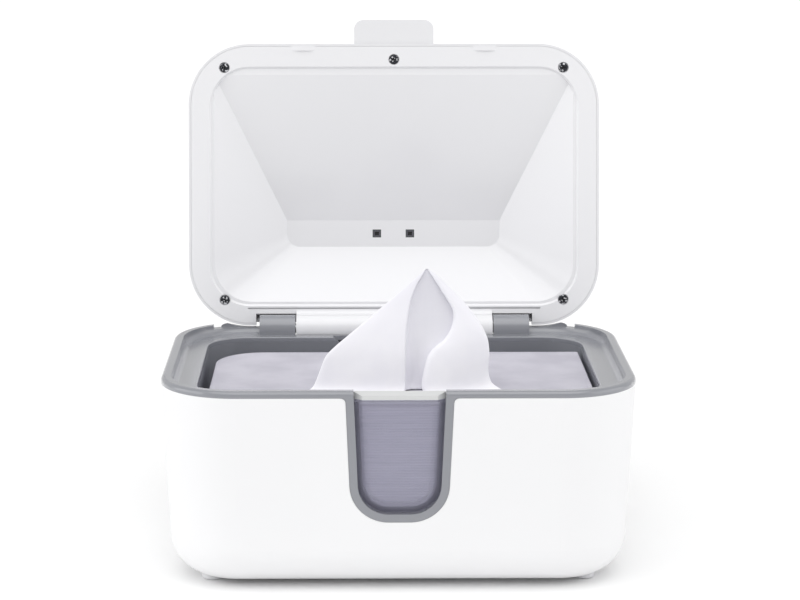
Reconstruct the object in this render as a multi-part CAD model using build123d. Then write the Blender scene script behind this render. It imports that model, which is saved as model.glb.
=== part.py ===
from build123d import *
import math
import os

# Baby wipe warmer: a tapered tub with a clear front window and a hinged, hipped lid.
# Millimetres. +X right, +Y to the rear, +Z up. The origin is the middle of the
# rectangle of the four feet, on the surface that they stand on.
# The lid is drawn closed and turned open about its hinge at the end, because the
# open lid is the rest position.

# --- Body -------------------------------------------------------------------
BODY_WIDTH = 230.0  # over the rim, along X
BODY_DEPTH = 161.0  # over the rim, along Y
RIM_HEIGHT = 100.0  # top of the rim above the table
CORNER_RADIUS = 38.0  # vertical corners at the rim
DRAFT_ANGLE = 2.6  # degrees, the walls draw in towards the foot
BOTTOM_ROUND = 20.0  # round between the walls and the underside
SHELL_WALL = 2.4
FOOT_HEIGHT = 2.0  # gap between the underside and the table
FOOT_RADIUS = 5.5
FOOT_SEAT = 3.5  # depth of a foot in its pocket
FOOT_INSET_X = 24.5  # foot's middle to the side of the rim
FOOT_INSET_Y = 30.5
FOOT_ROUND = 0.6

# --- Top frame ----------------------------------------------------------------
BAND_HEIGHT = 3.2  # grey band that shows above the white shell
RIM_LAND = 5.0  # width of the rim's flat top
RIM_ROUND = 2.2
LEDGE_DROP = 5.0  # ledge below the rim's top
LEDGE_WIDTH = 12.6
LEDGE_PLATE = 2.5
LEDGE_ROUND = 0.6  # ledge's inner edge
GUTTER_ROUND = 3.5  # between the rim's inner wall and the ledge
PLUG_GAP = 0.15  # frame's plug inside the shell
SCOOP_HALF_TOP = 32.6  # notch in the ledge's rear edge
SCOOP_HALF_LOW = 27.9
SCOOP_DEPTH = 4.4
SCOOP_LENGTH = 4.0
BOSS_RADIUS = 3.5
BOSS_LENGTH = 6.0  # below the ledge plate, for the frame screws

# --- Window -------------------------------------------------------------------
SURROUND_HALF = 25.7  # half width of the U surround at the rim
SURROUND_DEPTH = 64.4  # from the rim to the foot of the U
SURROUND_ROUND = 18.5
SURROUND_TAPER = 2.4  # degrees on each side
SURROUND_BAND = 3.9  # grey band around the pane
WEB_ROUND = 2.2  # between the band's lower edge and the sides of the U
SURROUND_THICK = 6.7  # from the front of the rim to the back of the surround
NOTCH_GAP = 0.1
PANE_INSET = 1.0  # behind the front of the surround
PANE_BEVEL = 3.8  # bevel along the pane's sides and foot, seen from the front
PANE_BEVEL_DEPTH = 3.4
PANE_THICK = 2.0
PANE_GAP = 0.1
PANE_SKIRT = 2.0  # thickness of the skirt behind the pane
PANE_FLANGE = 2.4  # flange behind the surround
PANE_FLANGE_THICK = 1.5
SHELF_DROP_REAR = 0.55  # shelf below the rim's top, at its rear edge
SHELF_DROP_FRONT = 2.6
SHELF_PLATE = 1.0  # what is left of the ledge plate behind the window

# --- Wipe tank ----------------------------------------------------------------
TANK_STEP = 0.05  # tank wall set back under the ledge
TANK_WALL = 2.0
TANK_FLOOR_HEIGHT = 26.0  # tank's floor above the table
TANK_ROUND = 1.2  # between the tank's walls and its floor
TANK_LUG_WIDTH = 8.0
TANK_LUG_THICK = 2.0
LUG_GAP = 1.0  # lug ring to the inside of the shell
FRAME_SCREW_OUT = 4.1  # side screws outside the tank's wall
FRAME_SCREW_OUT_FRONT = 4.6
FRAME_SCREW_OUT_REAR = 2.6
FRAME_SCREW_FRONT_X = 60.0
FRAME_SCREW_REAR_INSET = 31.0  # rear screws from the side of the rim
POST_RADIUS = 4.5
POST_OUT_X = 10.0  # post's middle outside the base cover
POST_IN_Y = 8.0  # post's middle inside the cover's front and rear edges
POST_HOLE_DEPTH = 8.0

# --- Heater under the tank ------------------------------------------------------
PLATE_LENGTH = 150.0
PLATE_WIDTH = 100.0
PLATE_THICK = 1.5
PLATE_ROUND = 8.0
FILM_MARGIN = 6.0
FILM_ROUND = 5.0
FILM_THICK = 0.4
FILM_TAIL_LENGTH = 2.0
FILM_TAIL_WIDTH = 9.0
FILM_TAIL_X = -32.0
PAD_THICK = 5.0
FUSE_RADIUS = 2.0
FUSE_LENGTH = 11.0
FUSE_X = -8.0
SENSOR_RADIUS = 1.6
SENSOR_LENGTH = 6.0
SENSOR_X = 20.0
SENSOR_ROUND = 0.5

# --- Underside ------------------------------------------------------------------
COVER_HALF_X = 72.0
COVER_HALF_Y = 46.0
COVER_RADIUS = 10.0
COVER_THICK = 1.5
COVER_GAP = 0.2
COVER_STEP = 10.0  # width of the step that the cover lies against
FLOOR_THICK = 3.2  # shell floor around the cover
COVER_BOSS_RADIUS = 4.0
COVER_BOSS_HEIGHT = 5.0
COVER_SCREW_INSET = 6.0
COVER_SCREW_SPARE = 1.0  # hole beyond the tip of a screw

# --- Electrics in the base ---------------------------------------------------------
BOARD_LENGTH = 72.0
BOARD_WIDTH = 44.0
BOARD_THICK = 1.6
BOARD_REAR_GAP = 2.0  # board to the rear edge of the opening over the cover
STANDOFF_HEIGHT = 4.5
STANDOFF_RADIUS = 3.0
STANDOFF_INSET = 4.0
CONNECTOR_LENGTH = 9.0
CONNECTOR_DEPTH = 6.0
CONNECTOR_HEIGHT = 5.0
RELAY_LENGTH = 14.0
RELAY_WIDTH = 12.0
RELAY_HEIGHT = 5.0
RELAY_OFFSET = 8.0  # relay's near end from the board's middle
REGULATOR_SIZE = 10.0
REGULATOR_HEIGHT = 1.4
REGULATOR_OFFSET = 2.0
CAPACITOR_RADIUS = 2.6
CAPACITOR_HEIGHT = 5.5
CAPACITOR_PITCH = 8.0
CAPACITOR_OFFSET_X = 16.0
CAPACITOR_OFFSET_Y = 6.0
JACK_X = -46.0
JACK_HEIGHT = 14.0  # axis above the table
JACK_BODY = 9.0
JACK_LENGTH = 12.0
JACK_BORE_RADIUS = 2.9
JACK_BORE_DEPTH = 9.0
JACK_PIN_RADIUS = 1.0
JACK_COLLAR_RADIUS = 4.0
JACK_COLLAR_PROUD = 0.5
JACK_PIN_SHORT = 1.0  # pin's end inside the mouth
RECESS_HALF_X = 8.0
RECESS_HALF_Z = 6.0
RECESS_DEPTH = 5.4  # behind the rear of the wall, measured at the underside's draft
RECESS_WALL = 2.0
LEAD_RADIUS = 0.8
LID_LEAD_RADIUS = 1.0
LEAD_PITCH = 2.4
LEAD_RISE = 2.0  # axis of a lead above the top of its board
LID_LEAD_GAP = 0.6  # slot around the lid's lead
LEAD_LEAN = 35.0  # degrees above the horizontal, where the lid's lead leaves the barrel
LEAD_OUT = 11.0  # run of the lid's lead out of the barrel
LEAD_BORE_RUN = 8.0  # bore beyond the bush, where the lead turns
LEAD_SHIFT = 3.0
LEAD_END_RUN = 4.5
BEND_SHARE = 0.45  # share of a lead's run that an arc takes
SENSOR_RUN_RISE = 4.0  # the sensor's lead passes over the lid's lead
LEAD_TURN_INSET = 2.2  # the lid's lead inside the hollow knuckle's outer ear
LEAD_SLOT_HALF = 3.0  # slot in the tank's lug ring for it

# --- Screws ----------------------------------------------------------------------------
SCREW_RADIUS = 1.3
SCREW_HEAD_RADIUS = 2.5
SCREW_HEAD_HEIGHT = 1.1
SCREW_HOLE_GAP = 0.2
PILOT_GAP = 0.05
RECESS_ARM = 1.5  # cross recess, half length of an arm
RECESS_SLOT = 0.5
RECESS_CUT = 0.6
BODY_SCREW_GRIP = 7.0  # above the shell's floor
BOARD_SCREW_SPARE = 0.5

# --- Hinge -------------------------------------------------------------------------------
HINGE_SETBACK = 4.0  # axis in front of the rim's rear face
HINGE_DROP = 3.0  # axis below the rim's top
KNUCKLE_RADIUS = 7.2
KNUCKLE_START = 52.7
KNUCKLE_WIDTH = 19.0
BARREL_GAP = 0.5  # between barrel and knuckle, along X
TROUGH_GAP = 0.4  # around the barrel
TROUGH_WALL = 2.0
NOTCH_SIDE_GAP = 2.1  # lid's notch outside a knuckle
NOTCH_ROUND_GAP = 0.6  # lid's notch around a knuckle
REAR_NOTCH_DROP = 2.55  # the notch follows the open lid's outline
SWEEP_HALF = 96.0  # relief in the rim's rear corners for the turning lid
SWEEP_RADIUS = 7.6
SWEEP_DROP = 2.2
SWEEP_REAR = 0.6  # relief's rear, behind the axis
PIN_RADIUS = 2.5
PIN_FIT = 0.02
RUNNING_FIT = 0.05
PIN_REACH = 8.2  # into the barrel
PIN_SEAT = 16.5  # into the knuckle
BORE_SPARE = 0.5  # bore beyond the pin's end
PIN_CHAMFER = 0.4
BUSH_BORE_RADIUS = 1.35
BUSH_SEAT = 5.3
KNUCKLE_EAR = 4.5
KNUCKLE_SHELL = 2.0
LEAD_WELL_FRONT = 6.5  # well under the hollow knuckle, in front of the axis
LEAD_WELL_REAR = 2.0
LID_OPEN_ANGLE = 100.0  # degrees, from closed to open

# --- Lid ------------------------------------------------------------------------------------
LID_GAP = 0.5  # between lid and rim, all round
LID_DROP = 2.3  # lid's face below the rim's top, closed
LID_SIDE = 5.2  # height of the lid's upright side
LID_RISE = 34.0  # top of the lid above its face
LID_WALL = 2.2
LID_LIP = 1.2  # shell edge that shows around the liner
LIP_GAP = 0.1
ROOF_HALF_X = 66.0
ROOF_HALF_Y = 15.0
RIDGE_Y = 25.9
ROOF_ROUND = 6.0
SIDE_ROUND = 3.0
LINER_THICK = 2.5
LINER_WALL = 2.0
HOLLOW_SIDE_EDGE = 12.1
HOLLOW_FRONT_EDGE = 13.0
HOLLOW_REAR_EDGE = 11.3
HOLLOW_RADIUS = 20.4
HOLLOW_RISE = 24.0
STRIP_HALF_X = 57.8
STRIP_HALF_Y = 7.15
HOLLOW_ROUND = 1.0  # bevel of the hollow's mouth
BARREL_ROUND = 3.0
LIP_GROOVE_HALF = 78.0  # groove between the hollow and the barrel
LIP_GROOVE_WIDTH = 0.8
LIP_GROOVE_DEPTH = 1.7
TAB_HALF = 21.2
TAB_REACH = 13.0
TAB_THICK = 2.2
TAB_RISE = 2.5  # tab's underside above the lid's face
TAB_ROUND = 5.0
TAB_EDGE_ROUND = 0.6
NUB_X = 48.4
NUB_LENGTH = 12.0
NUB_DEPTH = 2.4
NUB_HEIGHT = 0.8
LID_SCREW_SIDE = 19.1  # from the lid's side
LID_SCREW_FRONT = 12.5
LID_SCREW_MIDDLE = 8.2
LID_SCREW_REAR = 13.7
LID_SCREW_LENGTH = 5.0
LID_BOSS_RADIUS = 3.4
BOSS_PASS = 0.2  # gap round a boss that passes the hollow's corner
LID_SCREW_SPARE = 0.4
BOSS_ROOT = 0.5  # board bosses into the liner's ridge
HEAD_RECESS = 1.3

# --- Lid electrics -----------------------------------------------------------------------------
LID_BOARD_LENGTH = 86.0
LID_BOARD_WIDTH = 20.0
LID_BOARD_THICK = 1.2
LID_BOARD_LIFT = 1.2  # bosses on the liner's ridge
LID_BOARD_BOSS_RADIUS = 2.4
LID_BOARD_INSET_X = 5.0  # boss to the end of the lid board
LID_BOARD_INSET_Y = 4.5
LID_CHIP_SIZE = 8.0
LID_CHIP_HEIGHT = 1.0
LID_CHIP_X = -22.0
STATUS_LIGHT_HEIGHT = 0.8
LAMP_SPACING = 18.0
LAMP_X_SIZE = 4.2
LAMP_Y_SIZE = 3.9
LAMP_GAP = 0.2
LAMP_SET = 0.2  # lamp's face inside the hollow's ceiling
SWITCH_SIZE = 6.0
SWITCH_HEIGHT = 1.6
BUTTON_RADIUS = 6.4
BUTTON_GAP = 0.3
BUTTON_FLANGE = 1.3
BUTTON_FLANGE_THICK = 1.0
BUTTON_PROUD = 1.0
BUTTON_TRAVEL = 0.8
BUTTON_SPARE = 0.1  # stem to switch at the end of its travel
BUTTON_ROUND = 0.8
BUTTON_STEM_RADIUS = 1.6
STATUS_X = 17.0
STATUS_HALF_X = 4.0
STATUS_HALF_Y = 1.2
STATUS_GAP = 0.05
STATUS_PROUD = 0.15
STATUS_FLANGE = 1.0
STATUS_FLANGE_THICK = 0.8

# --- Wipes -----------------------------------------------------------------------------------------
STACK_LEFT_GAP = 4.6  # stack to tank wall
STACK_RIGHT_GAP = 1.5
STACK_FRONT_GAP = 2.4
STACK_REAR_GAP = 17.0
STACK_TOP_DROP = 9.0  # below the rim's top
STACK_CORNER = 20.0
STACK_CORNER_REAR = 25.0  # the rear left corner is rounder
STACK_CLEARANCE = 0.3
WIPE_CLEARANCE = 0.3
WIPE_HEIGHT = 57.0
WIPE_SPAN = 90.0
WIPE_PEAK_X = 14.0
WIPE_PEAK_Y = -26.0
WIPE_END_Y = -12.0  # the next five are from the peak, at the wipe's foot
WIPE_FOLD_Y = -18.0
WIPE_PANEL_Y = -11.0
WIPE_ROLL_Y = -18.0
WIPE_REAR_Y = 14.0

# --- Levels and places worked out from the sizes above ---------------------------------------------
HALF_X = BODY_WIDTH / 2
HALF_Y = BODY_DEPTH / 2
LEDGE_Z = RIM_HEIGHT - LEDGE_DROP
BAND_Z = RIM_HEIGHT - BAND_HEIGHT
PLATE_BOTTOM_Z = LEDGE_Z - LEDGE_PLATE
OPENING_INSET = RIM_LAND + LEDGE_WIDTH
SHELF_PLATE_Z = LEDGE_Z - SHELF_PLATE
TANK_FLOOR_Z = TANK_FLOOR_HEIGHT
TANK_BASE_Z = TANK_FLOOR_Z - TANK_WALL
TANK_INSET = OPENING_INSET - TANK_STEP
LUG_Z = PLATE_BOTTOM_Z - BOSS_LENGTH
SURROUND_BACK_Y = -HALF_Y + SURROUND_THICK
RIM_BACK_Y = -HALF_Y + RIM_LAND
TANK_FRONT_Y = -(HALF_Y - TANK_INSET + TANK_WALL)
AXIS_Y = HALF_Y - HINGE_SETBACK
AXIS_Z = RIM_HEIGHT - HINGE_DROP
KNUCKLE_END = KNUCKLE_START + KNUCKLE_WIDTH
BARREL_HALF = KNUCKLE_START - BARREL_GAP
TROUGH_RADIUS = KNUCKLE_RADIUS + TROUGH_GAP
SADDLE_RADIUS = TROUGH_RADIUS + TROUGH_WALL
HOLLOW_X = (KNUCKLE_START + KNUCKLE_EAR, KNUCKLE_END - KNUCKLE_EAR)
LEAD_TURN_X = HOLLOW_X[1] - LEAD_TURN_INSET
LID_INSET = RIM_LAND + LID_GAP
LID_HALF_X = HALF_X - LID_INSET
LID_HALF_Y = HALF_Y - LID_INSET
LID_Z = RIM_HEIGHT - LID_DROP
LINER_TOP_Z = LID_Z + LINER_THICK
HOLLOW_TOP_Z = LID_Z + HOLLOW_RISE
RIDGE_TOP_Z = HOLLOW_TOP_Z + LINER_WALL
LID_TOP_Z = LID_Z + LID_RISE
LID_CEILING_Z = LID_TOP_Z - LID_WALL
LID_BOARD_Z = RIDGE_TOP_Z + LID_BOARD_LIFT
COVER_TOP_Z = FOOT_HEIGHT + COVER_THICK
BOARD_Z = COVER_TOP_Z + STANDOFF_HEIGHT
BOARD_TOP_Z = BOARD_Z + BOARD_THICK
BOARD_REAR_Y = COVER_HALF_Y - COVER_STEP - BOARD_REAR_GAP
BOARD_Y = BOARD_REAR_Y - BOARD_WIDTH / 2
BOARD_X = -(COVER_HALF_X - COVER_STEP) + BOARD_LENGTH / 2
LEAD_Z = BOARD_TOP_Z + LEAD_RISE
FLOOR_TOP_Z = FOOT_HEIGHT + FLOOR_THICK
RECESS_Y = HALF_Y - (RIM_HEIGHT - JACK_HEIGHT) * math.tan(math.radians(DRAFT_ANGLE)) - RECESS_DEPTH
STACK_TOP_Z = RIM_HEIGHT - STACK_TOP_DROP
SIGNS = [(-1, -1), (1, -1), (-1, 1), (1, 1)]
FRAME_SCREW_X = HALF_X - TANK_INSET + TANK_WALL + FRAME_SCREW_OUT
FRAME_SCREW_REAR_X = HALF_X - FRAME_SCREW_REAR_INSET
FRAME_SCREWS = [
    (-FRAME_SCREW_X, 0.0),
    (FRAME_SCREW_X, 0.0),
    (-FRAME_SCREW_FRONT_X, TANK_FRONT_Y - FRAME_SCREW_OUT_FRONT),
    (FRAME_SCREW_FRONT_X, TANK_FRONT_Y - FRAME_SCREW_OUT_FRONT),
    (-FRAME_SCREW_REAR_X, -TANK_FRONT_Y + FRAME_SCREW_OUT_REAR),
    (FRAME_SCREW_REAR_X, -TANK_FRONT_Y + FRAME_SCREW_OUT_REAR),
]
LID_SCREW_X = LID_HALF_X - LID_SCREW_SIDE
LID_SCREWS = [
    (-LID_SCREW_X, -LID_HALF_Y + LID_SCREW_FRONT),
    (LID_SCREW_X, -LID_HALF_Y + LID_SCREW_FRONT),
    (0.0, -LID_HALF_Y + LID_SCREW_MIDDLE),
    (-LID_SCREW_X, LID_HALF_Y - LID_SCREW_REAR),
    (LID_SCREW_X, LID_HALF_Y - LID_SCREW_REAR),
]


# --- Shapes that are used again and again ----------------------------------------------------------
def block(x_low, x_high, y_low, y_high, z_low, z_high):
    """Plain box between two corners."""
    middle = Pos((x_low + x_high) / 2, (y_low + y_high) / 2, (z_low + z_high) / 2)
    return middle * Box(x_high - x_low, y_high - y_low, z_high - z_low)


def rounded_block(half_x, half_y, radius, z_low, z_high, middle_y=0.0):
    """Upright block with rounded vertical corners."""
    outline = RectangleRounded(2 * half_x, 2 * half_y, radius)
    return Pos(0, middle_y, z_low) * extrude(outline, z_high - z_low)


def post(x, y, z_low, z_high, radius):
    """Upright cylinder."""
    return Pos(x, y, (z_low + z_high) / 2) * Cylinder(radius, z_high - z_low)


def bar_x(x_low, x_high, y, z, radius):
    """Cylinder along X."""
    return Pos((x_low + x_high) / 2, y, z) * Rot(0, 90, 0) * Cylinder(radius, x_high - x_low)


def bar_y(x, y_low, y_high, z, radius):
    """Cylinder along Y."""
    return Pos(x, (y_low + y_high) / 2, z) * Rot(90, 0, 0) * Cylinder(radius, y_high - y_low)


def body_form(inset, z_low=FOOT_HEIGHT):
    """The tub's outer form, or the same form drawn in by an inset on every side."""
    draw_in = (RIM_HEIGHT - FOOT_HEIGHT) * math.tan(math.radians(DRAFT_ANGLE))
    top = Pos(0, 0, RIM_HEIGHT) * RectangleRounded(
        2 * (HALF_X - inset), 2 * (HALF_Y - inset), CORNER_RADIUS - inset
    )
    foot_inset = inset + draw_in
    foot = Pos(0, 0, z_low) * RectangleRounded(
        2 * (HALF_X - foot_inset), 2 * (HALF_Y - foot_inset), CORNER_RADIUS - foot_inset
    )
    form = loft([foot, top], ruled=True)
    return fillet(form.edges().group_by(Axis.Z)[0], BOTTOM_ROUND - inset)


def window_prism(inset, y_low, y_high, top_z):
    """U-shaped prism along Y: the surround's outline drawn in by an inset."""
    slope = math.tan(math.radians(SURROUND_TAPER))
    low_z = RIM_HEIGHT - SURROUND_DEPTH + inset
    half_top = SURROUND_HALF - inset + (top_z - RIM_HEIGHT) * slope
    half_low = SURROUND_HALF - inset - (RIM_HEIGHT - low_z) * slope
    corners = [(-half_top, top_z), (-half_low, low_z), (half_low, low_z), (half_top, top_z)]
    face = make_face(Polyline(*corners, close=True))
    face = fillet(face.vertices().group_by(Axis.Y)[0], SURROUND_ROUND - inset)
    return Pos(0, y_high, 0) * extrude(Plane.XZ * face, y_high - y_low)


def roof(half_x, half_y, radius, z_base, ridge_half_x, ridge_half_y, z_top, middle_y=0.0):
    """Hipped form between a rounded rectangle and a round-ended ridge."""
    base = Pos(0, middle_y, z_base) * RectangleRounded(2 * half_x, 2 * half_y, radius)
    ridge = Pos(0, RIDGE_Y, z_top) * RectangleRounded(
        2 * ridge_half_x, 2 * ridge_half_y, 0.98 * ridge_half_y
    )
    return loft([base, ridge], ruled=True)


def lead(name, points, radius):
    """Round lead along straight runs, with arcs as large as each pair of runs allows."""
    corners = [Vector(*point) for point in points]
    runs = [b - a for a, b in zip(corners, corners[1:])]
    bends = []
    for before, after in zip(runs, runs[1:]):
        half_turn = math.radians(before.get_angle(after)) / 2
        bends.append(BEND_SHARE * min(before.length, after.length) / math.tan(half_turn))
    path = FilletPolyline(*points, radius=bends)
    solid = sweep(Plane(origin=path @ 0, z_dir=path % 0) * Circle(radius), path=path)
    ratio = solid.volume / (math.pi * radius**2 * path.length)
    rounded = [round(bend, 1) for bend in bends]
    print(f"{name}: length {path.length:.1f}, radii {rounded}, volume ratio {ratio:.4f}")
    return solid


def cross_recess(x, y, z_low, z_high):
    """Cross-shaped cut for a driver."""
    half = RECESS_SLOT / 2
    along_x = block(x - RECESS_ARM, x + RECESS_ARM, y - half, y + half, z_low, z_high)
    along_y = block(x - half, x + half, y - RECESS_ARM, y + RECESS_ARM, z_low, z_high)
    return along_x + along_y


def screw_up(x, y, head_z, tip_z):
    """Screw driven upwards: its head is at the bottom, with a cross recess."""
    head = post(x, y, head_z, head_z + SCREW_HEAD_HEIGHT, SCREW_HEAD_RADIUS)
    shank = post(x, y, head_z + SCREW_HEAD_HEIGHT, tip_z, SCREW_RADIUS)
    return head + shank - cross_recess(x, y, head_z, head_z + RECESS_CUT)


def screw_down(x, y, head_z, tip_z):
    """Screw driven downwards: its head is at the top, with a cross recess."""
    head = post(x, y, head_z - SCREW_HEAD_HEIGHT, head_z, SCREW_HEAD_RADIUS)
    shank = post(x, y, tip_z, head_z - SCREW_HEAD_HEIGHT, SCREW_RADIUS)
    return head + shank - cross_recess(x, y, head_z - RECESS_CUT, head_z)


# --- Base: shell, frame, tank and window -----------------------------------------------------------
def cover_screw_places():
    """The four screws of the base cover."""
    x = COVER_HALF_X - COVER_SCREW_INSET
    y = COVER_HALF_Y - COVER_SCREW_INSET
    return [(sx * x, sy * y) for sx, sy in SIGNS]


def post_places():
    """The four posts under the tank, with a body screw each."""
    x = COVER_HALF_X + POST_OUT_X
    y = COVER_HALF_Y - POST_IN_Y
    return [(sx * x, sy * y) for sx, sy in SIGNS]


def foot_places():
    """The four feet."""
    x = HALF_X - FOOT_INSET_X
    y = HALF_Y - FOOT_INSET_Y
    return [(sx * x, sy * y) for sx, sy in SIGNS]


def inlet_pocket(grow, y_low):
    """Recess in the rear wall for the power inlet, or the same grown by a wall."""
    return block(
        JACK_X - RECESS_HALF_X - grow,
        JACK_X + RECESS_HALF_X + grow,
        y_low,
        HALF_Y + 1,
        JACK_HEIGHT - RECESS_HALF_Z - grow,
        JACK_HEIGHT + RECESS_HALF_Z + grow,
    )


def corner_webs(gap):
    """Rounded fill where the band's lower edge meets the sides of the U, or the cut for it."""
    half = SURROUND_HALF - BAND_HEIGHT * math.tan(math.radians(SURROUND_TAPER))
    low = BAND_Z - WEB_ROUND
    webs = []
    for side in (-1, 1):
        middle = side * (half + WEB_ROUND)
        x_low, x_high = sorted((side * (half - WEB_ROUND / 2), middle))
        web = block(x_low, x_high, -HALF_Y - RIM_LAND, SURROUND_BACK_Y, low, BAND_Z)
        webs.append(web - bar_y(middle, -HALF_Y - 2 * RIM_LAND, 0, low, WEB_ROUND - gap))
    return webs[0] + webs[1]


def make_outer_housing():
    """White shell: tub wall and floor, U notch, hinge cut, inlet recess and underside step."""
    outer = body_form(0)
    floor = body_form(SHELL_WALL) & block(-HALF_X, HALF_X, -HALF_Y, HALF_Y, 0, FLOOR_TOP_Z)
    shell = outer - body_form(SHELL_WALL, FOOT_HEIGHT + SHELL_WALL) + floor
    shell -= block(-HALF_X - 1, HALF_X + 1, -HALF_Y - 1, HALF_Y + 1, BAND_Z, RIM_HEIGHT + 1)
    shell -= window_prism(-NOTCH_GAP, -HALF_Y - RIM_LAND, SURROUND_BACK_Y, RIM_HEIGHT + RIM_LAND)
    shell -= corner_webs(NOTCH_GAP)
    cut_end = KNUCKLE_END + BARREL_GAP
    shell -= bar_x(-cut_end, cut_end, AXIS_Y, AXIS_Z, SADDLE_RADIUS + NOTCH_GAP)
    shell += inlet_pocket(RECESS_WALL, RECESS_Y - RECESS_WALL) & outer
    shell -= inlet_pocket(0, RECESS_Y)
    collar = JACK_COLLAR_RADIUS + NOTCH_GAP
    shell -= bar_y(JACK_X, RECESS_Y - 2 * RECESS_WALL, RECESS_Y + 1, JACK_HEIGHT, collar)
    for x, y in cover_screw_places():
        shell += post(x, y, FLOOR_TOP_Z, FLOOR_TOP_Z + COVER_BOSS_HEIGHT, COVER_BOSS_RADIUS)
    for x, y in foot_places():
        pocket_top = FOOT_HEIGHT + FOOT_SEAT
        shell += post(x, y, FOOT_HEIGHT, pocket_top + SHELL_WALL, FOOT_RADIUS + SHELL_WALL) & outer
        shell -= post(x, y, 0, pocket_top, FOOT_RADIUS + NOTCH_GAP)
    step_x = COVER_HALF_X + COVER_GAP
    step_y = COVER_HALF_Y + COVER_GAP
    shell -= rounded_block(step_x, step_y, COVER_RADIUS + COVER_GAP, 0, COVER_TOP_Z)
    hole_x = COVER_HALF_X - COVER_STEP
    hole_y = COVER_HALF_Y - COVER_STEP
    shell -= rounded_block(hole_x, hole_y, COVER_RADIUS / 2, 0, FLOOR_TOP_Z + 1)
    for x, y in cover_screw_places():
        hole_top = FLOOR_TOP_Z + COVER_BOSS_HEIGHT - COVER_SCREW_SPARE
        shell -= post(x, y, 0, hole_top, SCREW_RADIUS + PILOT_GAP)
    for x, y in post_places():
        shell -= post(x, y, 0, FLOOR_TOP_Z + 1, SCREW_RADIUS + SCREW_HOLE_GAP)
        shell -= post(x, y, 0, FOOT_HEIGHT + HEAD_RECESS, SCREW_HEAD_RADIUS + SCREW_HOLE_GAP)
    return shell


def make_knuckle(side):
    """Hinge knuckle of the frame: round on top, upright in front."""
    x_low, x_high = sorted((side * KNUCKLE_START, side * KNUCKLE_END))
    knuckle = bar_x(x_low, x_high, AXIS_Y, AXIS_Z, KNUCKLE_RADIUS)
    knuckle += block(x_low, x_high, AXIS_Y - KNUCKLE_RADIUS, AXIS_Y, PLATE_BOTTOM_Z, AXIS_Z)
    return knuckle


def make_top_frame():
    """Grey frame: rim, sunken ledge, U surround, hinge knuckles and trough."""
    wide = HALF_X + 1
    deep = HALF_Y + 1
    band = body_form(0) & block(-wide, wide, -deep, deep, BAND_Z, RIM_HEIGHT)
    band = fillet(band.edges().group_by(Axis.Z)[-1], RIM_ROUND)
    plug = body_form(SHELL_WALL + PLUG_GAP) & block(-wide, wide, -deep, deep, PLATE_BOTTOM_Z, BAND_Z)
    frame = band + plug
    surround = window_prism(0, -deep, SURROUND_BACK_Y, RIM_HEIGHT - RIM_ROUND) + corner_webs(0)
    frame += surround & body_form(0)
    pocket = rounded_block(
        HALF_X - RIM_LAND, HALF_Y - RIM_LAND, CORNER_RADIUS - RIM_LAND, LEDGE_Z, RIM_HEIGHT + 1
    )
    frame -= fillet(pocket.edges().group_by(Axis.Z)[0], GUTTER_ROUND)
    saddle = bar_x(-KNUCKLE_END, KNUCKLE_END, AXIS_Y, AXIS_Z, SADDLE_RADIUS)
    saddle &= block(-wide, wide, 0, deep, 0, LEDGE_Z)
    frame += saddle & body_form(0)
    frame -= rounded_block(
        HALF_X - OPENING_INSET,
        HALF_Y - OPENING_INSET,
        CORNER_RADIUS - OPENING_INSET,
        LUG_Z,
        RIM_HEIGHT + 1,
    )
    at_ledge = [e for e in frame.edges().filter_by_position(Axis.Z, LEDGE_Z, LEDGE_Z)]
    near_x = HALF_X - OPENING_INSET + 0.1
    near_y = HALF_Y - OPENING_INSET + 0.1
    inner = [e for e in at_ledge if abs(e.center().X) < near_x and abs(e.center().Y) < near_y]
    frame = fillet(inner, LEDGE_ROUND)
    frame -= rear_notch()
    sweep = bar_x(-SWEEP_HALF, SWEEP_HALF, AXIS_Y, AXIS_Z, SWEEP_RADIUS)
    frame -= sweep & block(-wide, wide, 0, AXIS_Y + SWEEP_REAR, RIM_HEIGHT - SWEEP_DROP, RIM_HEIGHT + 1)
    frame -= bar_x(-KNUCKLE_START, KNUCKLE_START, AXIS_Y, AXIS_Z, TROUGH_RADIUS)
    for side in (-1, 1):
        frame += make_knuckle(side)
    frame -= make_scoop()
    frame -= window_prism(SURROUND_BAND, -deep, OPENING_INSET - HALF_Y + 1, SHELF_PLATE_Z)
    frame -= window_prism(SURROUND_BAND, -deep, RIM_BACK_Y, RIM_HEIGHT + RIM_LAND)
    for x, y in FRAME_SCREWS:
        frame += post(x, y, LUG_Z, PLATE_BOTTOM_Z, BOSS_RADIUS)
        frame -= post(x, y, LUG_Z, LEDGE_Z - 1, SCREW_RADIUS + PILOT_GAP)
    frame -= bar_x(-KNUCKLE_START - PIN_SEAT, -KNUCKLE_START, AXIS_Y, AXIS_Z, PIN_RADIUS + PIN_FIT)
    frame -= bar_x(KNUCKLE_START, HOLLOW_X[0], AXIS_Y, AXIS_Z, PIN_RADIUS + PIN_FIT)
    frame -= bar_x(*HOLLOW_X, AXIS_Y, AXIS_Z, KNUCKLE_RADIUS - KNUCKLE_SHELL)
    well_front = AXIS_Y - LEAD_WELL_FRONT
    well_rear = AXIS_Y + LEAD_WELL_REAR
    frame -= block(*HOLLOW_X, well_front, well_rear, AXIS_Z - SADDLE_RADIUS - 1, AXIS_Z)
    return frame


def rear_notch():
    """Cut through the rim's rear that follows the outline of the open lid."""
    height = HALF_Y
    outline = RectangleRounded(2 * LID_HALF_X, height, CORNER_RADIUS - LID_INSET)
    low = RIM_HEIGHT - REAR_NOTCH_DROP
    cut = Plane.XZ * extrude(outline, RIM_LAND + 2)
    return Pos(0, HALF_Y + 1, low + height / 2) * cut


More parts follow.
